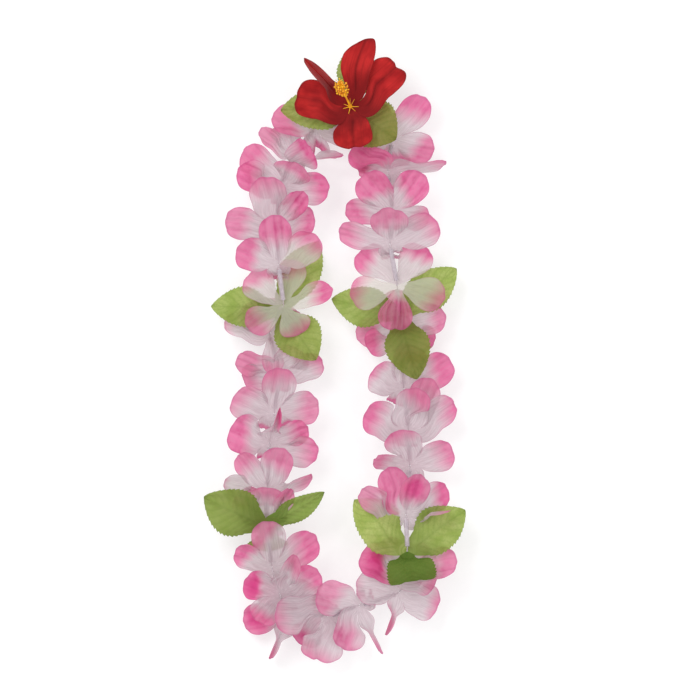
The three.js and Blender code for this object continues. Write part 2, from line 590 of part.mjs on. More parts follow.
for (const stop of rosettes) {
  const whole = rosetteSolid(stop);
  const geometry = toGeometry(stop.under ? notched(whole, stop.under.map(keepClear)) : whole);
  let material = pink;
  if (stop.leaves) material = green;
  if (stop === hibiscusStop) material = red;
  lei.add(part(stop.name, geometry, material));
}
for (const [name, geometry] of tubes) lei.add(part(name, geometry(0), clear));
lei.add(part('stamen', stamenGeometry(), yellow));

export default lei;
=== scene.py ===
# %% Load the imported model
import math
import random
import bpy
import numpy as np
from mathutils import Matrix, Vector


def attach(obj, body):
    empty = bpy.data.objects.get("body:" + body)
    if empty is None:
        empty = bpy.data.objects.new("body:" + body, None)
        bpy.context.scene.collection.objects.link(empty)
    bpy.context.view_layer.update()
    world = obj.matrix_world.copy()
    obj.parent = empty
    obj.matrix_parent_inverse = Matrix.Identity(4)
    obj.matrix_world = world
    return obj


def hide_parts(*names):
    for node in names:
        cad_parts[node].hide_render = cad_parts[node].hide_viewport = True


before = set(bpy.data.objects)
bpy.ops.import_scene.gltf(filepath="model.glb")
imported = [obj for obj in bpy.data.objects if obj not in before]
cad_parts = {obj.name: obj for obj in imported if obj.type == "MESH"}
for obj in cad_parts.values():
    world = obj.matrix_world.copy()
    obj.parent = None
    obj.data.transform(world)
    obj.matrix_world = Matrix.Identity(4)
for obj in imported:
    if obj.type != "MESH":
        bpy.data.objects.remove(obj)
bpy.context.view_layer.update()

# %% [markdown]
# This lesson dresses a party lei: thin polyester blooms, printed white and pink, on a thread with
# clear plastic spacers, and one red fabric hibiscus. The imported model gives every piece's place.
# All lengths here are written in millimetres, as on a drawing, and turned to metres at the end.

# %% Units and directions
MM = 0.001
TURN = 2 * math.pi
CENTRE = np.array([-1.8, -2.2, 0.0])  # middle of the loop's outline, which is the model's origin


def direction(heading, rise):
    """A unit vector: heading in degrees from +X seen from above, rise above level."""
    level = math.cos(math.radians(rise))
    h = math.radians(heading)
    return np.array([level * math.cos(h), level * math.sin(h), math.sin(math.radians(rise))])


def unit(v):
    return v / np.linalg.norm(v)


def smooth(x):
    """Goes from 0 to 1 with no corner at either end."""
    x = np.clip(x, 0, 1)
    return x * x * (3 - 2 * x)


print("a heading of 90 looks along", direction(90, 0).round(3).tolist())

# %% [markdown]
# On the real lei a thread goes through the middle of every bloom and every set of leaves. These
# places are the stops, in order from the hibiscus down the left side and up the right one. A formula
# could spread them evenly, but each bloom came to rest in its own way, so the stops are listed one by
# one.
#
# hub is the middle of the hole. faces is the way that the open side looks, as a heading and a rise.
# tube says that a spacer sits on the thread before the stop. A leaf set has leaves where a bloom has
# petals, and each of these gives its heading, its rise and how it differs from a plain one.
#
# For the shape, long and wide are shares of the plain size, fold closes a petal along its middle,
# roll turns it on edge, bend curls it, and sway bows its middle line. full makes it widen sooner
# where it is lower. corner squares the tip, or points it below 2; peak leans the tip to one side and
# notch dents it. ruffle deepens the waves, crease is a fold down the middle, and pleat is the share
# of the plain pleats. shown is the share of a leaf's outline before its tip folds under.
#
# For the paint, spray is where the airbrush starts, lean tilts that line, and spot is the place of a
# deep pink patch, as shares of the half width and the length. The key that makes a petal sheer thins
# its cloth and paints pale green light into it, as from a leaf beneath. On a leaf, shade paints shade
# onto it, and the key for brown paints shade tinted by the pink petals beneath it. Petals that others
# hide are kept small, so that they have room: first COVERED, then TUCKED and CRAMPED.

# %% The stops
COVERED = {"long": 0.7}
TUCKED = {"long": 0.5, "wide": 0.6}
CRAMPED = {"long": 0.35, "wide": 0.6}
STOPS = [
    {"name": "bloom_01", "hub": (-16, 194, 16), "faces": (50, 60), "petals": [
        (169, 6, {"long": 0.91, "wide": 0.95, "spray": 0.12, "lean": -0.2}),
        (342, 4, {"long": 0.74, "wide": 0.75}), (95, -22, COVERED), (45, -22, COVERED),
        (248, -50, {"long": 0.45, "fold": 60})]},
    {"name": "bloom_02", "hub": (-36, 168, 24), "faces": (60, 45), "tube": True, "petals": [
        (141, 10, {"long": 0.86, "wide": 0.74, "spray": 0.12}),
        (41, 58, {"roll": -60, "spray": 0.2}), (4, 2, {"long": 1.02, "roll": -68, "wide": 0.8}),
        (115, -28, COVERED), (262, -50, TUCKED)]},
    {"name": "bloom_03", "hub": (-47, 142, 26), "faces": (270, 66), "tube": True, "petals": [
        (159, 14, {"long": 0.95, "spray": 0.15}), (132, -10, {"long": 1.1}),
        (52, 46, {"long": 0.69, "wide": 1.15}), (357, 8, {"long": 0.98, "wide": 1.05}),
        (270, -60, TUCKED)]},
    {"name": "bloom_04", "hub": (-51, 109, 27), "faces": (270, 60), "tube": True, "petals": [
        (177, 3, {"long": 1.06, "wide": 1.1}), (105, 20, {"long": 1.07, "wide": 1.08}),
        (50, 30, {"long": 0.97, "fold": 25, "wide": 0.8, "spray": 0.1, "crease": 0.8}),
        (10, 4, {"long": 0.74}), (255, -70, TUCKED)]},
    {"name": "bloom_05", "hub": (-49, 73, 34), "faces": (270, 60), "tube": True, "petals": [
        (156, 14, {"long": 0.91, "wide": 1.12}),
        (96, 20, {"long": 1.11, "wide": 0.95, "spray": 0.15, "crease": 1, "ruffle": 1.6}),
        (36, 14, {"wide": 1.08, "sheer_and_leaf_light": 0.6}), (214, -89, CRAMPED), (266, -61, CRAMPED)]},
    {"name": "bloom_06", "hub": (-45, 38, 31), "faces": (90, 80), "tube": True, "petals": [
        (142, -16, {"long": 0.96, "full": 1.2, "sheer_and_leaf_light": 0.4}),
        (75, -20, {"long": 0.98, "wide": 0.85, "full": 1.2, "sheer_and_leaf_light": 1}),
        (18, -6, {"long": 1.05, "wide": 0.7, "full": 1.2, "sheer_and_leaf_light": 1}),
        (298, 4, {"long": 0.63, "wide": 0.95, "full": 1.2, "sheer_and_leaf_light": 1}),
        (215, 2, {"long": 0.84, "wide": 0.9, "full": 1.2, "sheer_and_leaf_light": 1})]},
    {"name": "leaves_left_upper", "hub": (-48, 34, 25), "faces": (90, 80), "leaves": [
        (178, -8, {"shade": 0.3}), (60, -24, {"long": 1.25, "shade": 0.2}),
        (305, 10, {"long": 0.9, "wide": 1.15, "shade": 0.35, "shade_over_pink": 0.15})]},
    {"name": "bloom_07", "hub": (-57, 13, 17), "faces": (90, 70), "petals": [
        (166, 1, {"long": 0.94, "wide": 0.75, "spray": 0.7}),
        (276, 18, {"long": 0.89, "wide": 0.62}), (26, -18, COVERED), (95, -21, COVERED),
        (133, 0, COVERED)]},
    {"name": "bloom_08", "hub": (-49, -23, 20), "faces": (270, 62), "tube": True, "petals": [
        (159, 8, {"long": 0.9, "wide": 0.8, "ruffle": 2, "spray": 0.15}),
        (184, -16, {"long": 0.72, "wide": 0.9}), (51, 7, {"long": 0.58, "wide": 1.05}),
        (15, 10, {"long": 0.93, "wide": 0.9}), (279, -60, TUCKED)]},
    {"name": "bloom_09", "hub": (-53, -58, 25), "faces": (270, 62), "tube": True, "petals": [
        (157, 20, {"long": 0.93, "wide": 1.12, "corner": 2.3, "full": 0.4}),
        (81, 26, {"long": 1.05}), (14, 9, {"long": 0.91, "wide": 1.12}), (230, -56, TUCKED),
        (326, -66, TUCKED)]},
    {"name": "bloom_10", "hub": (-57, -84, 26), "faces": (270, 62), "petals": [
        (157, 8, {"long": 0.83, "wide": 1.3, "full": 0.35}), (74, 30, {"long": 0.84, "fold": 78}),
        (23, 13, {"long": 0.83, "wide": 0.8, "crease": 0.9, "ruffle": 1.8}),
        (346, -1, {"wide": 1.05}), (255, -65, TUCKED)]},
    {"name": "bloom_11", "hub": (-59, -125, 26), "faces": (270, 62), "tube": True, "petals": [
        (128, 15, {"long": 0.95, "wide": 0.75}), (72, 25, {"long": 0.98, "wide": 0.95}),
        (20, 12, {"long": 0.98, "fold": 72, "crease": 0.8}),
        (171, 1, {"long": 0.87, "wide": 0.75, "spray": 0.85}), (276, -65, TUCKED)]},
    {"name": "bloom_12", "hub": (-60, -153, 25), "faces": (270, 60), "tube": True, "petals": [
        (94, 10, {"long": 0.66, "wide": 1.12, "lean": 0.3, "spray": 0.35}),
        (54, 20, {"long": 0.87, "fold": 45, "wide": 0.75, "crease": 0.8}),
        (129, -13, {"long": 0.8}), (215, -72, TUCKED), (304, -57, TUCKED)]},
    {"name": "leaves_left_lower", "hub": (-60, -158, 32), "faces": (270, 72), "leaves": [
        (154, 4, {"wide": 1.25, "shade": 0.62, "shade_over_pink": 0.15, "ruffle": 2}),
        (31, 8, {"long": 0.98, "wide": 0.62, "shade": 0.6, "ruffle": 2}),
        (274, -60, {"long": 0.5})]},
    {"name": "bloom_13", "hub": (-55, -193, 27), "faces": (270, 62), "tube": True, "petals": [
        (96, 19, {"spray": 0.42, "lean": -0.5}), (156, 13, {"long": 0.8, "wide": 0.8}),
        (35, 6, {"long": 1.12, "wide": 1.05, "spray": 0.15}), (234, -52, TUCKED),
        (312, -65, TUCKED)]},
    {"name": "bloom_14", "hub": (-48, -217, 28), "faces": (270, 68), "petals": [
        (158, 12, {"long": 0.73, "wide": 0.95, "spot": (0.2, 0.62), "spray": 0.3}),
        (69, 26, {"long": 0.95, "fold": 55, "wide": 0.95}),
        (28, 13, {"long": 0.93, "wide": 0.97, "spray": 0.35}),
        (229, -6, {"long": 0.67, "wide": 0.9}), (300, -50, TUCKED)]},
    {"name": "bloom_15", "hub": (-40, -233, 14), "faces": (270, 74), "petals": [
        (191, -3, {"long": 0.94, "wide": 0.95, "spray": 0.15, "spot": (-0.1, 0.62)}),
        (247, -8, {"long": 1.03, "fold": 80}), (126, -13, COVERED), (50, -14, COVERED),
        (329, -10, {"long": 0.6})]},
    {"name": "bloom_16", "hub": (-6, -236, 24), "faces": (340, 62), "tube": True, "petals": [
        (178, 8, {"long": 1.13, "wide": 1.14, "spray": 0.6, "lean": -0.15}),
        (257, 4, {"long": 0.94, "wide": 1.35, "spray": 0.5, "ruffle": 2.8, "crease": 0.6,
                  "notch": 0.05, "corner": 2.3}),
        (215, -16, {"long": 0.81}), (105, -58, CRAMPED), (335, -68, CRAMPED)]},
    {"name": "bloom_17", "hub": (22, -227, 23), "faces": (340, 60), "tube": True, "petals": [
        (165, 12, {"long": 0.94, "wide": 1.05}),
        (249, 5, {"long": 0.94, "wide": 1.1, "spray": 0.45, "spot": (0.1, 0.52)}),
        (296, -7, {"long": 1.14, "roll": 98, "wide": 0.6}), (42, -52, CRAMPED),
        (118, -70, CRAMPED)]},
    {"name": "bloom_18", "hub": (57, -215, 21), "faces": (30, 72), "tube": True, "petals": [
        (172, 11, {"long": 0.88, "wide": 1.05, "spray": 0.72, "ruffle": 2.6, "crease": 0.7}),
        (251, 2, {"long": 0.91, "fold": 80, "wide": 0.8}),
        (337, -5, {"long": 0.82, "wide": 1.1, "spray": 0.6}), (45, -30, TUCKED),
        (108, -35, {"long": 0.6})]},
    {"name": "bloom_19", "hub": (60, -196, 27), "faces": (90, 72), "petals": [
        (162, 4, {"long": 0.89, "wide": 1.05, "spray": 0.1, "spot": (0.0, 0.5)}),
        (11, 12, {"long": 1.18, "wide": 0.95}), (332, -8, {"long": 0.67, "wide": 0.9}),
        (130, -16, COVERED), (26, -16, COVERED)]},
    {"name": "leaves_right_lower", "hub": (64, -179, 33), "faces": (90, 78), "leaves": [
        (136, -8, {"long": 1.08, "wide": 1.15, "shade": 0.12}),
        (35, -8, {"long": 1.03, "wide": 1.15, "shade": 0.3, "ruffle": 1.5}),
        (280, 12, {"bend": -200, "long": 0.64, "wide": 1.2, "shade": 0.9, "shown": 0.66})]},
    {"name": "bloom_20", "hub": (63, -147, 30), "faces": (270, 60), "tube": True, "petals": [
        (153, 10, {"long": 1.08, "wide": 0.85}),
        (111, 17, {"long": 1.1, "wide": 0.9, "spray": -0.1, "crease": 1}),
        (70, 40, {"long": 1.1, "wide": 0.85, "spray": -0.05, "crease": 0.6, "spot": (0.1, 0.6)}),
        (36, -10, {"long": 1.02, "wide": 0.95}), (3, 20, {"long": 0.93, "roll": 66, "wide": 0.8})]},
    {"name": "bloom_21", "hub": (66, -104, 26), "faces": (270, 60), "tube": True, "petals": [
        (169, 23, {"long": 0.71, "roll": -30}), (104, 24, {"long": 0.78, "wide": 1.1}),
        (21, 7, {"long": 0.94, "wide": 1.05}), (221, -70, TUCKED), (297, -56, TUCKED)]},
    {"name": "bloom_22", "hub": (65, -73, 27), "faces": (270, 60), "tube": True, "petals": [
        (154, 10, {"long": 0.96, "wide": 1.2}),
        (81, 30, {"spray": 0.35, "corner": 2.3, "lean": 0.35}),
        (68, -2, {"long": 1.2, "wide": 0.95}), (34, -2, {"long": 1.13, "wide": 1}),
        (267, -65, TUCKED)]},
    {"name": "bloom_23", "hub": (61, -36, 22), "faces": (270, 64), "tube": True, "petals": [
        (150, 7, {"long": 0.68, "wide": 1.12, "spray": 0.58}),
        (32, -1, {"long": 1.15, "wide": 1.1}), (332, -20, {"long": 0.55}), (233, -61, TUCKED),
        (79, -4, {"long": 0.9})]},
    {"name": "bloom_24", "hub": (58, 15, 15), "faces": (270, 80), "tube": True, "petals": [
        (183, -7, {"long": 0.89, "wide": 0.85, "spray": 0.25}),
        (207, 4, {"long": 0.72, "wide": 0.85}), (21, 6, {"long": 0.96, "wide": 0.9}),
        (343, -9, {"long": 0.68, "wide": 0.8}), (100, -10, {"long": 0.8})]},
    {"name": "leaves_right_upper", "hub": (57, 29, 24), "faces": (270, 84), "leaves": [
        (167, -3, {"shade": 0.35}), (39, -8, {"long": 1.07, "shade": 0.2}),
        (285, 12, {"long": 0.98, "wide": 1.1, "shade": 0.6, "shade_over_pink": 0.35, "ruffle": 1.5})]},
    {"name": "bloom_25", "hub": (55, 55, 31), "faces": (90, 82), "tube": True, "petals": [
        (137, -18, {"long": 1.09, "wide": 1.02, "full": 1.2, "sheer_and_leaf_light": 0.2, "spray": 0.45}),
        (54, -18, {"full": 1.2, "sheer_and_leaf_light": 0.2, "spray": 0.45}),
        (195, -4, {"long": 0.96, "full": 1.2, "sheer_and_leaf_light": 1, "spray": 0.5}),
        (343, -3, {"full": 1.2, "sheer_and_leaf_light": 1, "spray": 0.5}),
        (267, 3, {"long": 0.92, "full": 1.2, "spray": -0.05, "crease": 1, "ruffle": 2.4,
                  "notch": 0.06, "sheer_and_leaf_light": 1, "pleat": 2.2})]},
    {"name": "bloom_26", "hub": (49, 91, 33), "faces": (270, 60), "tube": True, "petals": [
        (163, 0, {"long": 1.11, "wide": 0.85}),
        (92, 44, {"long": 0.97, "wide": 1.1, "spray": 0.1}), (26, 9, {"long": 1.09, "wide": 1.15}),
        (275, -61, CRAMPED), (326, -88, CRAMPED)]},
    {"name": "bloom_27", "hub": (51, 120, 25), "faces": (270, 70), "tube": True, "petals": [
        (128, 12, {"long": 0.97, "wide": 1.05, "spray": 0.15}), (53, 12, {"spray": 0.15}),
        (178, -10, {"long": 0.97, "wide": 0.8}), (347, -12, {"long": 0.72, "wide": 0.8}),
        (270, -60, TUCKED)]},
    {"name": "bloom_28", "hub": (47, 155, 22), "faces": (270, 60), "tube": True, "petals": [
        (145, 7, {"long": 0.86, "wide": 0.95, "spray": -0.25, "ruffle": 1.8}),
        (9, 8, {"long": 1.26, "roll": 38, "wide": 0.85}),
        (170, -20, {"long": 0.58, "wide": 0.6, "spray": 0.3}), (213, -65, TUCKED),
        (315, -55, TUCKED)]},
    {"name": "bloom_29", "hub": (49, 182, 20), "faces": (270, 66), "tube": True, "petals": [
        (52, 6, {"long": 1.18, "wide": 0.95, "spray": 0.25}), (347, 2, {"long": 0.89}),
        (215, -12, {"long": 0.9, "spray": 0.0}), (120, 4, {"long": 0.8}),
        (280, -30, {"long": 0.55, "spray": 0.0})]},
]
print("stops", len(STOPS), "with a spacer", sum("tube" in stop for stop in STOPS))

# %% [markdown]
# A bloom is one die-cut piece: five petals round a hub with a hole. The heat press gives each petal
# a place and a curve of its own. A flat star could be pulled into shape with proportional editing,
# but then no two petals would follow one rule. The formula below says where a petal's points lie,
# from its root at the hub to its tip, so the fine cloth follows the plain solids of the model.

# %% Where a petal starts
HUB_RADIUS = 8
HUB_HOLE = 0.8
PETAL = {"length": 34.5, "width": 31, "roll": 0, "fold": 8, "bend": -14, "sway": 0, "full": 0.66}


def frame_of(stop):
    """The hub's own directions: axis along its hole, across level and up square to both."""
    axis = direction(*stop["faces"])
    across = unit(np.cross([0, 0, 1], axis))
    return {"axis": axis, "across": across, "up": np.cross(axis, across),
            "hub": np.array(stop["hub"], float) - CENTRE}


def place_blades(place, kind, blades):
    """The blades in their order round the hub, with their roots spread evenly."""
    placed = []
    for blade in blades:
        way = direction(*blade[:2])
        placed.append({"long": 1, "wide": 1, **kind, **blade[2],
                       "around": math.atan2(way @ place["up"], way @ place["across"]) % TURN,
                       "stand": math.asin(way @ place["axis"])})
    placed.sort(key=lambda blade: blade["around"])
    step = TURN / len(placed)
    spin = sum(b["around"] - i * step for i, b in enumerate(placed)) / len(placed)
    for i, blade in enumerate(placed):
        blade["root"] = spin + i * step
        blade["step"] = step
    return placed


first_blades = place_blades(frame_of(STOPS[0]), PETAL, STOPS[0]["petals"])
print("first bloom, degrees round the hub", [round(math.degrees(b["around"])) for b in first_blades])

# %% Where the points of a petal or leaf lie
TURNED_BY = 0.5  # share of the length by which a petal has turned, folded and rolled in full
SOFT_FOLD = 2.5  # roundness of an open petal's middle fold; a closed fold is sharp
FREE_OF_HUB = 0.14  # share of the length by which a petal has left its wedge of the hub


def blade_points(place, blade, along, across):
    """Points of a blade in millimetres, with the direction that its face looks in at each."""
    length = blade["length"] * blade["long"]
    turned = smooth(along / TURNED_BY)
    angle = blade["root"] + (blade["around"] - blade["root"]) * turned
    bent = math.radians(blade["bend"])
    start = blade["stand"] - bent / 2
    now = start + bent * along
    out = HUB_RADIUS + length * (np.sin(now) - math.sin(start)) / bent
    lift = -length * (np.cos(now) - math.cos(start)) / bent
    outward = (np.cos(angle)[..., None] * place["across"] + np.sin(angle)[..., None] * place["up"])
    side = np.cross(place["axis"], outward)
    face = np.cos(now)[..., None] * place["axis"] - np.sin(now)[..., None] * outward
    folded = np.radians(blade["fold"]) * turned
    soft = SOFT_FOLD * (1 - blade["fold"] / 90)
    sideways = across * np.cos(folded) + blade["sway"] * np.sin(np.pi * along)
    raised = (np.sqrt(across**2 + soft**2) - soft) * np.sin(folded)
    tilt = np.radians(blade["roll"]) * turned
    right = sideways * np.cos(tilt) - raised * np.sin(tilt)
    above = sideways * np.sin(tilt) + raised * np.cos(tilt)
    points = (place["hub"] + out[..., None] * outward + lift[..., None] * place["axis"]
              + right[..., None] * side + above[..., None] * face)
    return points, face


def sheet_points(place, blade, along, across, share, relief):
    """The whole blade: its wedge of the hub for along below 0, then the blade with its relief."""
    start = blade["root"] + share * blade["step"] / 2
    reach = np.maximum(along, 0)
    points, face = blade_points(place, blade, reach, across)
    middle = blade_points(place, blade, reach, 0 * across)[0] - place["hub"]
    rise = middle @ place["axis"]
    out = np.sqrt(np.sum(middle**2, -1) - rise**2)
    radius = np.where(along < 0, HUB_HOLE + (HUB_RADIUS - HUB_HOLE) * (1 + along), out)
    wedge = (place["hub"] + (radius * np.cos(start))[..., None] * place["across"]
             + (radius * np.sin(start))[..., None] * place["up"] + rise[..., None] * place["axis"])
    grown = smooth(reach / FREE_OF_HUB)[..., None]
    points = (1 - grown) * wedge + grown * points
    return points + relief[..., None] * grown * face


tip, _ = blade_points(frame_of(STOPS[0]), first_blades[0], np.array([1.0]), np.array([0.0]))
print("its first petal's tip in mm", tip[0].round(1).tolist())

# %% [markdown]
# A petal starts as a flat grid, as cloth does. It could be cut from the grid with a knife, but the
# cut edge would then be a jagged stair. Here the rows and columns themselves are drawn in to the
# outline: wide towards the tip, narrow at the root, with a slightly uneven edge from the die.

# %% The petal's outline
PETAL_ROOT = HUB_RADIUS * math.sin(TURN / 10)
WIDEST = 0.64  # share of the length at which a petal is widest
TIP = 1.03  # share of the length that the middle of the tip reaches
COLUMNS = 30
HUB_ROWS = 2
PETAL_ROWS = 30
EDGE_WAVES = ((0.03, 3, 5), (0.022, 8, 11))  # height, and the slowest and fastest wave
NOTCH_WIDTH = 0.16


def half_petal(along, blade):
    half = blade["width"] * blade["wide"] / 2
    grown = np.sin(np.pi / 2 * np.clip(along / WIDEST, 0, 1)) ** blade["full"]
    return PETAL_ROOT + (half - PETAL_ROOT) * grown


def row_steps(rows):
    """How far out each row of a grid is: from -1 to 0 on the hub, then from 0 to 1."""
    return np.concatenate([np.linspace(-1, 0, HUB_ROWS + 1)[:-1], np.linspace(0, 1, rows + 1)])


def petal_grid(blade, draw):
    """For each point, how far along and across it is, and its share of the half width."""
    share = np.sin(np.linspace(-1, 1, COLUMNS + 1) * np.pi / 2)
    wave = 0
    for height, slow, fast in EDGE_WAVES:
        wave = wave + height * np.sin(share * draw.uniform(slow, fast) + draw.uniform(0, TURN))
    notch = blade.get("notch", 0) * np.exp(-(share / NOTCH_WIDTH) ** 2)
    corner = blade.get("corner", 2)
    turned = np.clip(np.abs(share - blade.get("peak", 0) * (1 - share**2)), 0, 1)
    end = WIDEST + (TIP - WIDEST) * (1 - turned**corner) ** (1 / corner) * (1 + wave) - notch
    steps = row_steps(PETAL_ROWS)[:, None]
    out = steps * np.where(steps > 0, end[None, :], 1)
    share = np.broadcast_to(share[None, :], out.shape)
    return out, share * half_petal(np.maximum(out, 0), blade), share


print("widest half of a plain petal in mm", float(half_petal(WIDEST, first_blades[0]).round(1)))

# %% [markdown]
# The heat press leaves fine pleats that fan out from the root, a shallow dish near the tip and a
# ruffled rim. Brushes in sculpt mode could draw them, but by hand they would take hours for 29
# blooms. Waves do it in one go, and each petal gets its own from a seeded draw, so no two are alike.

# %% The petal's relief
CREASE_WIDTH = 0.09
PLEAT_WIDTH = 0.07
PRESSED_PLEATS = (0.8, 0.6, 0.6)
FINE_PLEATS = ((0.26, 13), (0.2, 24))  # height in mm, and how closely they follow each other
DISH_DEPTH = 1.6
WAVE_HEIGHT = 1.1


def petal_creases(along, share, blade, draw):
    """Pressed lines that run out from the root: 1 on a line and 0 between them."""
    lines = blade.get("crease", 0) * np.exp(-(share / CREASE_WIDTH) ** 2)
    for size in np.array(PRESSED_PLEATS) * blade.get("pleat", 1):
        middle = 0.6 * math.sin(draw.uniform(0, TURN)) + draw.uniform(-0.12, 0.12) * (along - 0.5)
        lines = np.maximum(lines, size * np.exp(-((share - middle) / PLEAT_WIDTH) ** 2))
    return lines * smooth((along - 0.04) / 0.2) * (1.1 - 0.5 * along)


def petal_relief(along, share, blade, draw, depth):
    """How far each point is raised, in millimetres. depth scales all but the fine pleats."""
    phase = [draw.uniform(0, TURN) for _ in range(5)]
    grown = smooth((along - 0.02) / 0.4)
    pleats = sum(height * np.cos(share * number + start)
                 for (height, number), start in zip(FINE_PLEATS, phase))
    pleats = pleats * blade.get("pleat", 1)
    dish = -DISH_DEPTH * np.clip(1 - ((along - 0.74) / 0.3) ** 2 - (share / 0.95) ** 2, 0, 1)
    rim = np.abs(share) ** 3 * np.sin(along * draw.uniform(7, 12) + phase[2])
    tip = smooth((along - 0.68) / 0.3) * (np.sin(share * draw.uniform(3, 6) + phase[3])
                                          + 0.5 * np.sin(share * draw.uniform(9, 13) + phase[4]))
    return grown * (pleats + depth * (dish + WAVE_HEIGHT * rim + WAVE_HEIGHT * tip))


trial = random.Random("trial")
along, across, share = petal_grid(first_blades[0], trial)
print("deepest relief in mm", round(petal_relief(along, share, first_blades[0], trial, 1).min(), 1))

# %% [markdown]
# The pink is airbrushed on from the tips, so it fades towards the hub and no two petals have quite
# as much. An image could hold it, but a number at each point of the grid needs no file, bends with
# the cloth and stays soft, so the spray is worked out here and kept on the mesh.

# %% How much pink each point gets
SPOT_WIDTH = 0.65
SPOT_LENGTH = 0.26
SPOT_STRENGTH = 0.55
RIM_START = 0.93


def petal_spray(along, share, blade, draw):
    """How much pink the airbrush left: 0 is none, 1 is full, and a spot may add to it."""
    start = blade.get("spray", draw.uniform(0.2, 0.5))
    lean = blade.get("lean", draw.uniform(-0.24, 0.24))
    reach = draw.uniform(0.3, 0.62)
    edge = start + lean * share + 0.04 * np.sin(share * 9 + draw.uniform(0, TURN))
    pink = np.clip((along - edge) / reach, 0, 1) ** 1.15 * draw.uniform(0.7, 1)
    if "spot" in blade:
        across, out = blade["spot"]
        patch = np.exp(-((share - across) / SPOT_WIDTH) ** 2 - ((along - out) / SPOT_LENGTH) ** 2)
        pink = pink + SPOT_STRENGTH * patch
    return pink


def rim_of(along, share, end):
    """1 at the cut edge and 0 a little inside it."""
    edge = np.maximum(np.abs(share), along / end)
    return smooth((edge - RIM_START) / (1 - RIM_START)) * (along > 0.05)


print("mean spray", round(float(petal_spray(along, share, first_blades[0], trial).mean()), 2))

# %% [markdown]
# Each petal is added as Blender's own grid, so that its faces are four-sided and in rows, and its
# points then take their places from the formula. A mesh could be built from lists of points instead,
# but the grid comes with a tidy order and a UV map. The paint and the rim stay on the points as
# attributes, which the material reads: spray, rim, crease and tone, which is each petal's own share
# of the paler pink, and one more that thins the cloth over a leaf and paints pale green light into it,
# as from the leaf beneath. The weave follows the UV map, in millimetres of cloth.

# %% Helpers that select, add and join
SEAM = 0.02


def select_only(*pieces):
    """Selects these alone, with the first one active, because operators act on all selected."""
    bpy.ops.object.select_all(action="DESELECT")
    for piece in reversed(pieces):
        piece.select_set(True)
        bpy.context.view_layer.objects.active = piece


def join_parts(name, parts):
    select_only(*parts)
    bpy.ops.object.join()
    piece = bpy.context.object
    piece.name = name
    return piece


def settle(piece):
    """Moves the piece's place and turn into its mesh, as a finished piece needs."""
    select_only(piece)
    bpy.ops.object.transform_apply(location=True, rotation=True, scale=True)
    return piece


def close_seams(piece):
    """Merges the points that neighbours share at the hub and turns all faces the same way."""
    bpy.ops.object.mode_set(mode="EDIT")
    bpy.ops.mesh.select_all(action="SELECT")
    bpy.ops.mesh.remove_doubles(threshold=SEAM * MM)
    bpy.ops.mesh.normals_make_consistent(inside=False)
    bpy.ops.object.mode_set(mode="OBJECT")
    bpy.ops.object.shade_smooth()
    return piece


print("seams close within", SEAM, "mm")

# %% Turn a flat grid into a piece of cloth
TABLE_GAP = 0.25  # the cloth stays this far above the table
MAP_STEP = 60  # the petals lie this far apart on the cloth's own map


def add_grid(name, columns, rows):
    select_only()
    bpy.ops.mesh.primitive_grid_add(x_subdivisions=columns, y_subdivisions=rows, size=2)
    piece = bpy.context.object
    piece.name = name
    return piece


def order_of(mesh, columns, rows):
    """For each point of the grid, its row and column."""
    flat = np.zeros(len(mesh.vertices) * 3)
    mesh.vertices.foreach_get("co", flat)
    flat = flat.reshape(-1, 3)
    column = np.rint((flat[:, 0] + 1) / 2 * columns).astype(int)
    row = np.rint((flat[:, 1] + 1) / 2 * rows).astype(int)
    return row, column


def add_cloth(name, points, marks, cloth):
    """A grid with its points at their places, its marks and the cloth's own map."""
    rows, columns = points.shape[0] - 1, points.shape[1] - 1
    piece = add_grid(name, columns, rows)
    mesh = piece.data
    row, column = order_of(mesh, columns, rows)
    points[..., 2] = np.maximum(points[..., 2], TABLE_GAP)
    mesh.vertices.foreach_set("co", (points[row, column] * MM).ravel())
    for mark, values in marks.items():
        kept = mesh.attributes.new(mark, "FLOAT", "POINT")
        kept.data.foreach_set("value", values[row, column].astype(float))
    corners = np.zeros(len(mesh.loops), int)
    mesh.loops.foreach_get("vertex_index", corners)
    uv = mesh.uv_layers.active or mesh.uv_layers.new()
    uv.name = "cloth"
    uv.data.foreach_set("uv", cloth[row, column][corners].ravel())
    mesh.update()
    return piece


print("a petal has", COLUMNS * (PETAL_ROWS + HUB_ROWS), "faces")

# %% Make one bloom from its petals
CREASE_DEPTH = 0.6


def make_bloom(stop, kind=PETAL, depth=0.55):
    draw = random.Random(stop["name"])
    place = frame_of(stop)
    parts = []
    for i, blade in enumerate(place_blades(place, kind, stop["petals"])):
        along, across, share = petal_grid(blade, draw)
        creases = petal_creases(along, share, blade, draw)
        ruffle = blade.get("ruffle", draw.uniform(0.6, 1.3))
        relief = petal_relief(along, share, blade, draw, depth * ruffle)
        relief = relief - (CREASE_DEPTH + depth) * creases
        points = sheet_points(place, blade, along, across, share, relief)
        spray = petal_spray(along, share, blade, draw)
        end = np.maximum(along[-1], 0.1)[None, :]
        marks = {"spray": spray, "rim": rim_of(along, share, end), "crease": creases,
                 "tone": np.full(along.shape, draw.uniform(0, 1)),
                 "sheer_and_leaf_light": np.full(along.shape, blade.get("sheer_and_leaf_light", 0))}
        cloth = np.stack([across + MAP_STEP * i, along * blade["length"]], -1)
        parts.append(add_cloth(f"{stop['name']}_{i}", points, marks, cloth))
    return close_seams(join_parts(stop["name"] + "_cloth", parts))


print("faces in a bloom before its seams close", 5 * COLUMNS * (PETAL_ROWS + HUB_ROWS))

# %% [markdown]
# The cloth is sheer polyester, and what lies behind a petal shows through it. A glass-like shader
# would bend the view, which thin cloth doesn't do. So three plain parts are mixed: a transparent one,
# tinted by the dye; a diffuse one for the woven threads; and a translucent one for the light that
# comes through from behind. The airbrushed tips let less through.

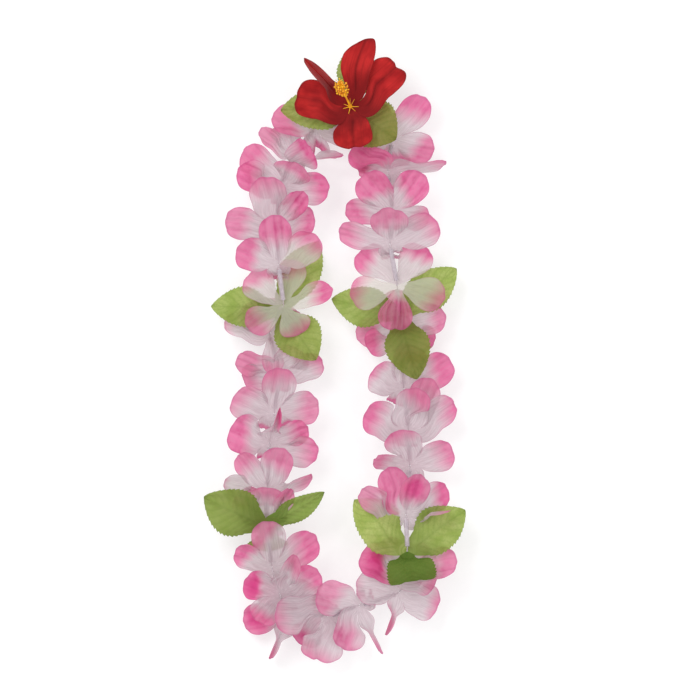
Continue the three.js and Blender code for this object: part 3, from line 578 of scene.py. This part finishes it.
# %% Colours and small node helpers
def linear(r, g, b):
    """A colour as a paint chart gives it, 0 to 255, in Blender's linear values."""
    def one(v):
        v = v / 255
        return v / 12.92 if v <= 0.04045 else ((v + 0.055) / 1.055) ** 2.4
    return (one(r), one(g), one(b), 1.0)


class Nodes:
    """Adds and links shader nodes with short calls."""

    def __init__(self, name):
        self.material = bpy.data.materials.new(name)
        self.material.use_nodes = True
        self.tree = self.material.node_tree
        self.tree.nodes.clear()

    def feed(self, socket, value):
        if isinstance(value, bpy.types.NodeSocket):
            self.tree.links.new(value, socket)
        else:
            socket.default_value = value

    def add(self, kind, inputs=(), **settings):
        node = self.tree.nodes.new("ShaderNode" + kind)
        for key, value in settings.items():
            setattr(node, key, value)
        for key, value in dict(inputs).items():
            self.feed(node.inputs[key], value)
        return node

    def mix(self, share, a, b):
        """Colour a where share is 0 and b where it is 1. Sockets 0, 6 and 7 are for colours."""
        node = self.add("Mix", {0: share}, data_type="RGBA")
        self.feed(node.inputs[6], a)
        self.feed(node.inputs[7], b)
        return node.outputs[2]

    def span(self, value, low, high, to_low=0.0, to_high=1.0):
        return self.add("MapRange", {"Value": value, "From Min": low, "From Max": high,
                                     "To Min": to_low, "To Max": to_high}).outputs[0]

    def math(self, operation, a, b):
        return self.add("Math", {0: a, 1: b}, operation=operation).outputs[0]

    def mark(self, name):
        return self.add("Attribute", attribute_name=name, attribute_type="GEOMETRY").outputs["Fac"]

    def noise(self, scale, detail=2.0):
        """Noise over the piece's own place, finer for a larger scale."""
        place = self.add("TexCoord").outputs["Object"]
        return self.add("TexNoise", {"Vector": place, "Scale": scale, "Detail": detail}).outputs["Fac"]

    def bump(self, height, strength, distance):
        return self.add("Bump", {"Strength": strength, "Distance": distance,
                                 "Height": height}).outputs[0]

    def finish(self, shader):
        self.add("OutputMaterial", {"Surface": shader})
        return self.material


print("mid grey 128 is", round(linear(128, 128, 128)[0], 3), "in linear light")

# %% The weave and the sheer cloth
WEAVE_SCALE = 0.55  # a thread about every 0.6 mm
WEAVE_DEPTH = 0.00012


def stretched_noise(n, across, along, detail=3.0):
    """Noise over the cloth's own map, drawn out where a scale is small."""
    uv = n.add("UVMap", uv_map="cloth").outputs[0]
    mapped = n.add("Mapping", {"Vector": uv, "Scale": (across, along, 1)}).outputs[0]
    return n.add("TexNoise", {"Vector": mapped, "Scale": 1.0, "Detail": detail}).outputs["Fac"]


def weave_bump(n, strength):
    """A plain weave: two sets of fine threads that cross."""
    uv = n.add("UVMap", uv_map="cloth").outputs[0]
    warp, weft = (n.add("TexWave", {"Vector": uv, "Scale": WEAVE_SCALE, "Distortion": 0.4},
                        bands_direction=way).outputs["Fac"] for way in "XY")
    return n.bump(n.math("MULTIPLY", warp, weft), strength, WEAVE_DEPTH)


def sheer_cloth(n, colour, seen_through, cover, through=0.35):
    """The three-part shader. cover is how much of the light the threads stop."""
    normal = weave_bump(n, 0.25)
    front = n.add("BsdfDiffuse", {"Color": colour, "Normal": normal}).outputs[0]
    back = n.add("BsdfTranslucent", {"Color": colour, "Normal": normal}).outputs[0]
    threads = n.add("MixShader", {0: through, 1: front, 2: back}).outputs[0]
    clear = n.add("BsdfTransparent", {"Color": seen_through}).outputs[0]
    return n.add("MixShader", {0: cover, 1: clear, 2: threads}).outputs[0]


print("weave depth mm", round(WEAVE_DEPTH / MM, 2))

# %% [markdown]
# The petals are white where no paint fell, a cool pink at the tips and nearly magenta where the
# airbrush passed twice. One flat pink would look like paper. The marks on the mesh steer the mix
# instead, and fine streaks along the threads break it up: in the pink the dye runs a little along
# them, and in the white they are painted shade and painted light. The creases get painted shade,
# and the cut edge is a little darker.

# %% The petals' cloth
# Painted shade, painted light, and painted pale green light as from a leaf beneath.
WHITE_SHADED, WHITE_LIT, WHITE_LIT_BY_LEAF = (linear(194, 177, 184), linear(215, 202, 207),
                                        linear(222, 226, 206))
PINK, PINK_PALE, PINK_DEEP, MAGENTA = (linear(220, 104, 152), linear(226, 126, 168),
                                       linear(210, 84, 140), linear(206, 52, 122))
# Painted shade for the creases, then a darker colour for the cut edge.
PINK_CREASE_SHADE, RIM_DARKER = linear(190, 62, 120), linear(186, 96, 140)
SEEN_THROUGH_WHITE, SEEN_THROUGH_PINK = linear(246, 240, 242), linear(250, 150, 196)


def petal_cloth():
    n = Nodes("petal_cloth")
    streak = stretched_noise(n, 0.9, 0.06)
    blotch = stretched_noise(n, 0.12, 0.1, 2.0)
    spray = n.mark("spray")
    sheer_and_leaf_light = n.mark("sheer_and_leaf_light")
    # Painted shade and painted light in fine streaks over the white.
    white = n.mix(n.span(streak, 0.35, 0.7), WHITE_SHADED, WHITE_LIT)
    # Painted pale green light over a leaf, where the cloth is made sheer.
    white = n.mix(n.math("MULTIPLY", sheer_and_leaf_light, 0.6), white, WHITE_LIT_BY_LEAF)
    tip = n.mix(n.mark("tone"), PINK, PINK_PALE)
    tip = n.mix(n.span(blotch, 0.45, 0.7), tip, PINK_DEEP)
    uneven = n.math("MULTIPLY", spray, n.span(streak, 0.25, 0.6, 0.78, 1.0))
    colour = n.mix(uneven, white, tip)
    colour = n.mix(n.span(spray, 0.9, 1.6), colour, MAGENTA)
    # Painted shade in the pressed creases, pinker where the spray is.
    crease_shade = n.math("MULTIPLY", n.mark("crease"), n.span(spray, 0.0, 1.0, 0.08, 0.6))
    colour = n.mix(crease_shade, colour, PINK_CREASE_SHADE)
    # Darker towards the cut edge.
    colour = n.mix(n.math("MULTIPLY", n.mark("rim"), 0.5), colour, RIM_DARKER)
    seen = n.mix(spray, SEEN_THROUGH_WHITE, SEEN_THROUGH_PINK)
    cover = n.span(uneven, 0.0, 1.0, 0.77, 0.9)
    cover = n.math("SUBTRACT", cover, n.math("MULTIPLY", sheer_and_leaf_light, 0.25))
    return n.finish(sheer_cloth(n, colour, seen, cover))


petal_material = petal_cloth()
print("material", petal_material.name, len(petal_material.node_tree.nodes), "nodes")

# %% [markdown]
# All 29 blooms are cut with one die. One could be modelled and copied, but copies would all lie in
# the same way, so each is made from its own stop and takes the imported node's place. Laid flat, a
# bloom is a star that fills about half of its square, and the area of its cloth is summed.


def dress(piece, node, material):
    piece.data.materials.clear()
    piece.data.materials.append(material)
    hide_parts(node)
    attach(piece, "root")


def declare_cloth(piece):
    area = sum(polygon.area for polygon in piece.data.polygons)
    return area


blooms = []
for stop in STOPS:
    if "petals" in stop:
        bloom = make_bloom(stop)
        dress(bloom, stop["name"], petal_material)
        area = declare_cloth(bloom)
        blooms.append(bloom)
print("blooms", len(blooms), "faces each", len(blooms[0].data.polygons),
      "last area cm2", round(area * 1e4, 1))

# %% [markdown]
# A leaf set is one piece too: three leaves with saw-toothed edges. The teeth could be cut with a
# boolean, which leaves ragged faces, so the rows of the grid step in and out with them instead. The
# press leaves a midrib and side veins that run forward, and the cloth swells a little between them.

# %% The leaf's outline and veins
LEAF = {"length": 53.5, "width": 38, "roll": 0, "fold": 8, "bend": -16, "sway": 0}
LEAF_COLUMNS = 28
LEAF_ROWS = 112
TEETH = 15
TOOTH_DEPTH = 0.075
SIDE_VEINS = 8
VEIN_SLANT = 0.3
MIDRIB_WIDTH = 0.07
VEIN_WIDTH = 0.017
LEAST_HALF = 0.02  # keeps the tip's faces from closing up


def leaf_grid(blade):
    along = row_steps(LEAF_ROWS)[:, None] * np.ones(LEAF_COLUMNS + 1)
    share = np.broadcast_to(np.linspace(-1, 1, LEAF_COLUMNS + 1)[None, :], along.shape)
    reach = np.clip(along, 0, 1)
    shown = (reach * blade.get("shown", 1)) ** 0.8
    half = blade["width"] * blade["wide"] / 2 * np.sin(np.pi * shown) ** 0.75
    half = half * (1 - TOOTH_DEPTH * ((reach * TEETH) % 1.0) * (reach > 0.08))
    return along, share * np.maximum(half, LEAST_HALF), share


def leaf_veins(along, share):
    """1 on the midrib and the side veins, 0 between them."""
    midrib = np.exp(-(share / MIDRIB_WIDTH) ** 2)
    run = (along - VEIN_SLANT * np.abs(share)) * SIDE_VEINS
    near = np.abs(run - np.rint(run)) / SIDE_VEINS
    side = np.exp(-(near / VEIN_WIDTH) ** 2) * (np.abs(share) < 0.93)
    return np.maximum(midrib, 0.8 * side) * smooth(along / 0.1)


def leaf_relief(along, share, veins, ruffle, draw):
    """How far each point is raised, in millimetres."""
    run = (along - VEIN_SLANT * np.abs(share)) * SIDE_VEINS
    swell = 0.36 * np.cos(run * TURN) * smooth(along / 0.15) * (1 - np.abs(share) ** 4)
    wave = np.abs(share) ** 2 * np.sin(along * draw.uniform(6, 9) + draw.uniform(0, TURN))
    fold = 0.8 * np.cos(share * 9 + draw.uniform(0, TURN)) * smooth((along - 0.1) / 0.3)
    return -swell + 0.35 * veins + ruffle * (wave + 0.35 * fold)


print("a leaf has", LEAF_COLUMNS * (LEAF_ROWS + HUB_ROWS), "faces and", 2 * TEETH, "teeth")

# %% Make a leaf set
LEAVES_TOP = {"name": "leaves_top", "hub": (14, 212, 35), "faces": (90, 88), "leaves": [
    (183, -3, {"shade": 0.25, "shade_over_pink": 0.1, "ruffle": 1.5}),
    (324, 0, {"long": 0.78, "wide": 1.25, "shade": 0.3, "shade_over_pink": 0.6, "ruffle": 1.5}),
    (84, -4, {"long": 0.91, "wide": 0.85})]}


def make_leaves(stop):
    draw = random.Random(stop["name"])
    place = frame_of(stop)
    parts = []
    for i, blade in enumerate(place_blades(place, LEAF, stop["leaves"])):
        along, across, share = leaf_grid(blade)
        veins = leaf_veins(along, share)
        relief = leaf_relief(along, share, veins, blade.get("ruffle", 0.9), draw)
        points = sheet_points(place, blade, along, across, share, relief)
        rim = smooth((np.abs(share) - RIM_START) / (1 - RIM_START)) * (along > 0.08)
        marks = {"vein": veins, "rim": rim,
                 # painted shade: each leaf's own share, and more towards the hub, under the blooms
                 "shade": blade.get("shade", 0.3) + 0.25 * (1 - smooth(along / 0.5)),
                 # painted shade tinted by the pink petals beneath the leaf
                 "shade_over_pink": np.full(along.shape, blade.get("shade_over_pink", 0))}
        cloth = np.stack([across + MAP_STEP * i, along * blade["length"]], -1)
        parts.append(add_cloth(f"{stop['name']}_{i}", points, marks, cloth))
    return close_seams(join_parts(stop["name"] + "_cloth", parts))


leaf_sets = [make_leaves(stop) for stop in STOPS + [LEAVES_TOP] if "leaves" in stop]
print("leaf sets", [piece.name for piece in leaf_sets])

# %% [markdown]
# The leaves are the same cloth, dyed yellow-green, with painted shade in places and more towards the
# hub; on a few the painted shade is tinted by the pink petals beneath them. Each could have a
# material of its own, but one material that reads marks from the mesh does for all five sets. The
# veins are only a little darker than the rest.

# %% The leaves' cloth
# The third colour is painted shade.
LEAF_DYE, LEAF_PALE, LEAF_IN_SHADE = linear(160, 180, 92), linear(190, 202, 124), linear(82, 118, 44)
# The first colour is painted shade tinted by pink petals beneath.
LEAF_SHADE_OVER_PINK, LEAF_FLECK = linear(132, 112, 58), linear(120, 144, 66)
VEIN_DYE, LEAF_RIM = linear(88, 116, 44), linear(96, 120, 48)
SEEN_THROUGH_LEAF = linear(196, 206, 120)


def leaf_cloth():
    n = Nodes("leaf_cloth")
    blotch = stretched_noise(n, 0.09, 0.07, 2.0)
    fine = stretched_noise(n, 0.8, 0.5)
    base = n.mix(n.span(blotch, 0.35, 0.65), LEAF_DYE, LEAF_PALE)
    # Painted shade, where the shade mark says.
    base = n.mix(n.mark("shade"), base, LEAF_IN_SHADE)
    # Painted shade tinted by the pink petals beneath the leaf.
    base = n.mix(n.mark("shade_over_pink"), base, LEAF_SHADE_OVER_PINK)
    base = n.mix(n.span(fine, 0.4, 0.7, 0.0, 0.35), base, LEAF_FLECK)
    colour = n.mix(n.math("MULTIPLY", n.mark("vein"), 0.3), base, VEIN_DYE)
    colour = n.mix(n.math("MULTIPLY", n.mark("rim"), 0.3), colour, LEAF_RIM)
    return n.finish(sheer_cloth(n, colour, SEEN_THROUGH_LEAF, 0.86, 0.4))


leaf_material = leaf_cloth()
for piece in leaf_sets:
    dress(piece, piece.name.removesuffix("_cloth"), leaf_material)
    area = declare_cloth(piece)
print("last leaf set's area cm2", round(area * 1e4, 1))

# %% [markdown]
# The hibiscus is heavier cloth in deep red. It is cut like a bloom, with larger petals whose rims
# ripple more, so the same helper makes it with a larger plain petal. It lets hardly any light
# through, and a dull velvety surface suits it better than the mix for sheer cloth. Its pressed lines
# get painted shade, and its throat is darker.

# %% The hibiscus
RED_PETAL = {"length": 42.5, "width": 31, "roll": 0, "fold": 8, "bend": -18, "sway": 0, "full": 0.65}
RED_DYE, RED_LIT, RED_STREAK = linear(150, 16, 20), linear(184, 34, 34), linear(112, 8, 10)
# The middle colour is painted shade for the pressed lines.
RED_THROAT, RED_SHADE_IN_CREASE, RED_RIM = linear(104, 4, 8), linear(92, 2, 6), linear(98, 12, 16)
HIBISCUS_STOP = {"name": "hibiscus", "hub": (14, 212, 41), "faces": (120, 84), "petals": [
    (77, 6, {"long": 1.28, "sway": 3, "peak": -0.3, "corner": 1.75, "crease": 1, "ruffle": 1.3,
             "spray": 0.1, "pleat": 0.25, "wide": 0.9}),
    (41, 2, {"long": 1.1, "wide": 1.1, "corner": 3.0, "notch": 0.05, "crease": 1, "ruffle": 1.4,
             "spray": 0.15, "peak": -0.2, "pleat": 0.25}),
    (275, 0, {"long": 0.66, "wide": 1.14, "corner": 2.4, "notch": 0.035, "crease": 1,
              "ruffle": 1.2, "spray": 0.1, "pleat": 0.3}),
    (169, 2, {"long": 0.94, "wide": 1.12, "corner": 2.6, "crease": 0.6, "ruffle": 1.5,
              "spray": 0.1, "pleat": 0.3, "peak": 0.15}),
    (134, 14, {"long": 1.19, "fold": 66, "wide": 0.8, "crease": 0.6, "spray": 0.3, "pleat": 0.3})]}


def red_cloth():
    n = Nodes("red_cloth")
    streak = stretched_noise(n, 0.7, 0.03)
    blotch = stretched_noise(n, 0.08, 0.06, 2.0)
    base = n.mix(n.span(blotch, 0.35, 0.65), RED_DYE, RED_LIT)
    colour = n.mix(n.span(streak, 0.52, 0.66, 0.0, 0.35), base, RED_STREAK)
    colour = n.mix(n.span(n.mark("spray"), 0.0, 0.7, 0.7, 0.0), colour, RED_THROAT)
    # Painted shade in the pressed lines.
    colour = n.mix(n.math("MULTIPLY", n.mark("crease"), 0.75), colour, RED_SHADE_IN_CREASE)
    colour = n.mix(n.math("MULTIPLY", n.mark("rim"), 0.6), colour, RED_RIM)
    velvet = n.add("BsdfPrincipled", {"Base Color": colour, "Roughness": 0.75, "Sheen Weight": 0.25,
                                      "Sheen Roughness": 0.4, "Normal": weave_bump(n, 0.35),
                                      "Specular IOR Level": 0.2}).outputs[0]
    back = n.add("BsdfTranslucent", {"Color": colour}).outputs[0]
    return n.finish(n.add("MixShader", {0: 0.18, 1: velvet, 2: back}).outputs[0])


hibiscus = make_bloom(HIBISCUS_STOP, RED_PETAL, depth=0.9)
dress(hibiscus, "hibiscus", red_cloth())
print("hibiscus area cm2", round(declare_cloth(hibiscus) * 1e4, 1))

# %% [markdown]
# The stamen is moulded plastic: a stalk that goes down through the flower to a foot, a small star of
# filaments on the petals, and a leaning column with yellow pollen grains and a few fine strands on
# top. Hair particles could carry the pollen, but they aren't a mesh until they are converted, so
# tapered rods and small balls are added one by one and joined into one piece.

# %% Rods and grains
GRAIN_DETAIL = 2


def add_rod(start, end, thick, thin, sides):
    """A tapering rod between two points, in millimetres, with its place in its mesh."""
    span = end - start
    select_only()
    bpy.ops.mesh.primitive_cone_add(vertices=sides, radius1=thick * MM, radius2=thin * MM,
                                    depth=float(np.linalg.norm(span)) * MM)
    rod = bpy.context.object
    rod.rotation_mode = "QUATERNION"
    rod.rotation_quaternion = Vector(span).to_track_quat("Z", "Y")
    rod.location = ((start + end) / 2 * MM).tolist()
    return settle(rod)


def add_grain(centre, radius):
    select_only()
    bpy.ops.mesh.primitive_ico_sphere_add(subdivisions=GRAIN_DETAIL, radius=radius * MM,
                                          location=(centre * MM).tolist())
    return settle(bpy.context.object)


print("faces in a grain", 20 * 4 ** (GRAIN_DETAIL - 1))

# %% The stamen's parts
STALK_FOOT = 19
COLUMN = {"lean": (115, 50), "length": 33}
FILAMENTS = 7
GRAINS = 78
GRAINS_REACH_DOWN = 16
GOLDEN_ANGLE = 2.39996  # turns each grain away from those before it, as seeds lie in a flower head
STRANDS = 6


def add_stalk(foot, root, end, lean):
    down = np.array([0, 0, 1])
    return [add_rod(foot, root, 1.2, 1.2, 16),
            add_rod(foot - down, foot + 0.5 * down, 3.2, 3.0, 24),
            add_rod(root - 0.6 * down, root + lean * 4, 1.9, 0.95, 16),
            add_rod(root, end, 0.95, 0.8, 12)]


def add_star(root, draw):
    parts = []
    for i in range(FILAMENTS):
        angle = TURN * i / FILAMENTS + draw.uniform(-0.2, 0.2)
        way = np.array([math.cos(angle), math.sin(angle), 0])
        middle = root + 3.5 * way + [0, 0, 0.2]
        tip = root + (6.4 + draw.uniform(-1, 1)) * way + [0, 0, 1.4]
        parts += [add_rod(root - [0, 0, 0.4], middle, 0.4, 0.3, 8),
                  add_rod(middle, tip, 0.3, 0.2, 8)]
    return parts


def add_pollen(root, lean, side, front, draw):
    parts = []
    for i in range(GRAINS):
        height = COLUMN["length"] + 1 - GRAINS_REACH_DOWN * (i / GRAINS)
        angle = i * GOLDEN_ANGLE
        reach = 5.4 * math.sin(math.pi * (0.2 + 0.7 * i / GRAINS)) + draw.uniform(-1.4, 0.9)
        start = root + height * lean
        way = math.cos(angle) * side + math.sin(angle) * front
        grain = start + reach * way + draw.uniform(0, 1.2) * lean
        parts += [add_rod(start, grain, 0.22, 0.18, 5), add_grain(grain, draw.uniform(0.6, 1.0))]
    return parts


def add_strands(end, lean, side, front):
    parts = []
    for i in range(STRANDS):
        angle = TURN * i / STRANDS
        tip = end + 5 * lean + 3.2 * (math.cos(angle) * side + math.sin(angle) * front)
        parts += [add_rod(end - lean, tip, 0.35, 0.2, 6), add_grain(tip, 0.55)]
    return parts


print("filaments", FILAMENTS, "grains", GRAINS, "strands", STRANDS)

# %% The stamen
def make_stamen():
    draw = random.Random("stamen")
    top = np.array(HIBISCUS_STOP["hub"], float) - CENTRE
    foot = np.array([top[0], top[1], STALK_FOOT])
    root = top + [0, 0, 2]
    lean = direction(*COLUMN["lean"])
    side = unit(np.cross([0, 0, 1], lean))
    front = np.cross(lean, side)
    end = root + COLUMN["length"] * lean
    parts = add_stalk(foot, root, end, lean) + add_star(root, draw)
    parts += add_pollen(root, lean, side, front, draw) + add_strands(end, lean, side, front)
    return settle(join_parts("stamen_moulding", parts))


def stamen_plastic():
    n = Nodes("stamen_plastic")
    colour = n.mix(n.span(n.noise(220.0, 1.0), 0.4, 0.62), linear(240, 184, 12), linear(222, 140, 8))
    skin = {"Base Color": colour, "Roughness": 0.42, "Normal": n.bump(n.noise(900.0), 0.3, 0.0002)}
    return n.finish(n.add("BsdfPrincipled", skin).outputs[0])


stamen = make_stamen()
dress(stamen, "stamen", stamen_plastic())
bpy.ops.object.shade_smooth_by_angle(angle=math.radians(50))
print("stamen faces", len(stamen.data.polygons))

# %% [markdown]
# The thread goes through every hub square to the cloth and straight through every tube, and both its
# ends run into a small loop round the stamen's stalk. A soft spline through the hubs would swing out
# between them, so its route is a line of knots, with each bend rounded by cutting its corner twice.

# %% The thread's route
THROUGH = 3.6  # from a hub's middle to the knots before and after it
AXIS_PULL = 0.9  # how much of the hub's axis a knot's way takes on
FIRST_CUT = 1.1
CUT_RATIO = 2.6  # the second cut is this many times smaller
MOST_CUT = 0.33  # a cut takes no more than this share of a span
TIE = np.array([*HIBISCUS_STOP["hub"][:2], STALK_FOOT + 4], float) - CENTRE


def hub_of(index):
    if 0 <= index < len(STOPS):
        return np.array(STOPS[index]["hub"], float) - CENTRE
    return TIE


def rounded(knots):
    """The line with each inner knot cut twice, close to the knot."""
    for cut in (FIRST_CUT, FIRST_CUT / CUT_RATIO):
        line = [knots[0]]
        for before, knot, after in zip(knots, knots[1:], knots[2:]):
            for other in (before, after):
                span = other - knot
                line.append(knot + span * min(cut / np.linalg.norm(span), MOST_CUT))
        knots = line + [knots[-1]]
    return knots


for i, stop in enumerate(STOPS):
    run = unit(hub_of(i + 1) - hub_of(i - 1))
    axis = direction(*stop["faces"])
    way = unit(run + math.copysign(AXIS_PULL, axis @ run) * axis)
    stop["arrives"] = hub_of(i) - THROUGH * way
    stop["departs"] = hub_of(i) + THROUGH * way
print("knots", 2 * len(STOPS) + 2)

# %% The thread
THREAD_RADIUS = 0.5
LOOP_RADIUS = 2.3


def line_curve(name, points, closed=False):
    """A curve through the points with the thread's round section, turned into a mesh."""
    data = bpy.data.curves.new(name, "CURVE")
    data.dimensions = "3D"
    data.bevel_depth = THREAD_RADIUS * MM
    data.bevel_resolution = 3
    data.use_fill_caps = not closed
    spline = data.splines.new("POLY")
    spline.points.add(len(points) - 1)
    for point, place in zip(spline.points, points):
        point.co = (*(place * MM), 1)
    spline.use_cyclic_u = closed
    piece = bpy.data.objects.new(name, data)
    bpy.context.collection.objects.link(piece)
    select_only(piece)
    bpy.ops.object.convert(target="MESH")
    return bpy.context.object


def thread_yarn():
    n = Nodes("thread_yarn")
    place = n.add("TexCoord").outputs["Object"]
    twist = n.add("TexWave", {"Vector": place, "Scale": 420.0, "Distortion": 0.6},
                  bands_direction="DIAGONAL").outputs["Fac"]
    colour = n.mix(twist, linear(168, 152, 160), linear(206, 196, 200))
    yarn = {"Base Color": colour, "Roughness": 0.7, "Normal": n.bump(twist, 0.5, 0.0003)}
    return n.finish(n.add("BsdfPrincipled", yarn).outputs[0])


knots = [TIE - [LOOP_RADIUS, 0, 0]]
for stop in STOPS:
    knots += [stop["arrives"], stop["departs"]]
knots.append(TIE + [LOOP_RADIUS, 0, 0])
route = rounded(knots)
turns = [TIE + LOOP_RADIUS * direction(a, 0) for a in range(0, 360, 12)]
strand = line_curve("thread_run", route)
loop = line_curve("thread_loop", turns, closed=True)
thread = settle(join_parts("thread_strand", [strand, loop]))
dress(thread, "thread", thread_yarn())
bpy.ops.object.shade_smooth()
thread_length = sum(np.linalg.norm(b - a) for a, b in zip(route, route[1:]))
print("thread length mm", round(float(thread_length)))

# %% [markdown]
# The spacers are short lengths of thin clear tube, milky from the cutter, so the thread shows through
# them as a darker line. A boolean could bore a solid rod, but an open cylinder that gets its wall
# from Solidify and its rounded lips from Bevel stays clean. It is then laid along the thread.

# %% The tubes
TUBE_RADIUS = 2.1
TUBE_WALL = 0.8
TUBE_SIDES = 28
LIP = 0.22
TUBE_GAP = 1.2


def make_tube(name, start, end):
    select_only()
    bpy.ops.mesh.primitive_cylinder_add(vertices=TUBE_SIDES, radius=TUBE_RADIUS * MM,
                                        depth=float(np.linalg.norm(end - start)) * MM,
                                        end_fill_type="NOTHING")
    tube = bpy.context.object
    tube.name = name
    wall = tube.modifiers.new("wall", "SOLIDIFY")
    wall.thickness = TUBE_WALL * MM
    wall.offset = -1
    bpy.ops.object.modifier_apply(modifier="wall")
    lips = tube.modifiers.new("lips", "BEVEL")
    lips.width = LIP * MM
    lips.segments = 2
    lips.limit_method = "ANGLE"
    bpy.ops.object.modifier_apply(modifier="lips")
    tube.rotation_mode = "QUATERNION"
    tube.rotation_quaternion = Vector(end - start).to_track_quat("Z", "Y")
    tube.location = ((start + end) / 2 * MM).tolist()
    settle(tube)
    bpy.ops.object.shade_smooth_by_angle(angle=math.radians(40))
    return tube


def tube_plastic():
    n = Nodes("tube_plastic")
    colour = n.mix(n.span(n.noise(300.0), 0.35, 0.65), linear(206, 196, 203), linear(228, 220, 226))
    body = n.add("BsdfPrincipled", {"Base Color": colour, "Roughness": 0.3,
                                    "Specular IOR Level": 0.5}).outputs[0]
    clear = n.add("BsdfTransparent", {"Color": linear(236, 230, 234)}).outputs[0]
    return n.finish(n.add("MixShader", {0: 0.42, 1: clear, 2: body}).outputs[0])


tube_material = tube_plastic()
tubes = []
for before, stop in zip(STOPS, STOPS[1:]):
    if "tube" in stop:
        gap = TUBE_GAP * unit(stop["arrives"] - before["departs"])
        name = f"tube_{len(tubes) + 1:02d}"
        tube = make_tube(name + "_clear", before["departs"] + gap, stop["arrives"] - gap)
        dress(tube, name, tube_material)
        tubes.append(tube)
print("tubes", len(tubes))

# %% [markdown]
# The lei was photographed on plain white. A large flat plane stands for it. A plain sheet would
# turn grey under a soft light, and a plane that only glows would take no shadow, so the two are
# mixed: the floor stays near white and the petals still leave a faint shadow on it.

# %% The floor
FLOOR_SIZE = 40
FLOOR_DROP = 0.0002  # metres under the lei, so that the two never share a plane
GLOW = 0.55

select_only()
bpy.ops.mesh.primitive_plane_add(size=FLOOR_SIZE, location=(0, 0, -FLOOR_DROP))
floor = bpy.context.object
floor.name = "floor"
n = Nodes("floor_paper")
tone = n.mix(n.span(n.noise(40.0), 0.4, 0.6), (0.93, 0.93, 0.93, 1), (0.95, 0.95, 0.95, 1))
paper = n.add("BsdfDiffuse", {"Color": tone}).outputs[0]
lit = n.add("Emission", {"Color": tone, "Strength": 1.1}).outputs[0]
floor.data.materials.append(n.finish(n.add("MixShader", {0: GLOW, 1: paper, 2: lit}).outputs[0]))
print("floor", FLOOR_SIZE, "metres across")

# %% [markdown]
# The photograph's light is a bright even surround. A white world gives it, but on its own it would
# flatten the petals, so one broad soft lamp from the upper left brings out their relief, and a
# weaker one from the other side keeps its shadows pale.

# %% The lights
def soft_lamp(name, place, size, power):
    lamp = bpy.data.objects.new(name, bpy.data.lights.new(name, "AREA"))
    lamp.data.shape = "DISK"
    lamp.data.size = size
    lamp.data.energy = power
    lamp.location = place
    lamp.rotation_mode = "QUATERNION"
    lamp.rotation_quaternion = (-Vector(place)).to_track_quat("-Z", "Y")
    bpy.context.collection.objects.link(lamp)


soft_lamp("key", (-0.9, 0.9, 1.6), 1.2, 20)
soft_lamp("fill", (1.1, -0.6, 1.5), 1.6, 8)
world = bpy.data.worlds.new("surround")
bpy.context.scene.world = world
world.use_nodes = True
world.node_tree.nodes["Background"].inputs["Color"].default_value = (1, 1, 1, 1)
world.node_tree.nodes["Background"].inputs["Strength"].default_value = 0.85
bpy.context.scene.view_settings.view_transform = "Standard"

# %% [markdown]
# The photograph looks straight down from far away. A camera with a long lens could stand as far off,
# but one without perspective is simpler and keeps both ends of the loop in their true places.

# %% The camera
PIXEL = 0.00088  # metres on the lei for each pixel of the photograph
PHOTO_SIDE = 700
STOPS_ZERO = (334.5, 347.5)  # the photograph's pixel that the stops are measured from
CAMERA_HEIGHT = 1.5

camera = bpy.data.objects.new("camera", bpy.data.cameras.new("camera"))
camera.data.type = "ORTHO"
camera.data.ortho_scale = PHOTO_SIDE * PIXEL
camera.location = ((PHOTO_SIDE / 2 - STOPS_ZERO[0]) * PIXEL - CENTRE[0] * MM,
                   (STOPS_ZERO[1] - PHOTO_SIDE / 2) * PIXEL - CENTRE[1] * MM, CAMERA_HEIGHT)
bpy.context.collection.objects.link(camera)
bpy.context.scene.camera = camera
print("the picture is", round(camera.data.ortho_scale, 3), "metres across")
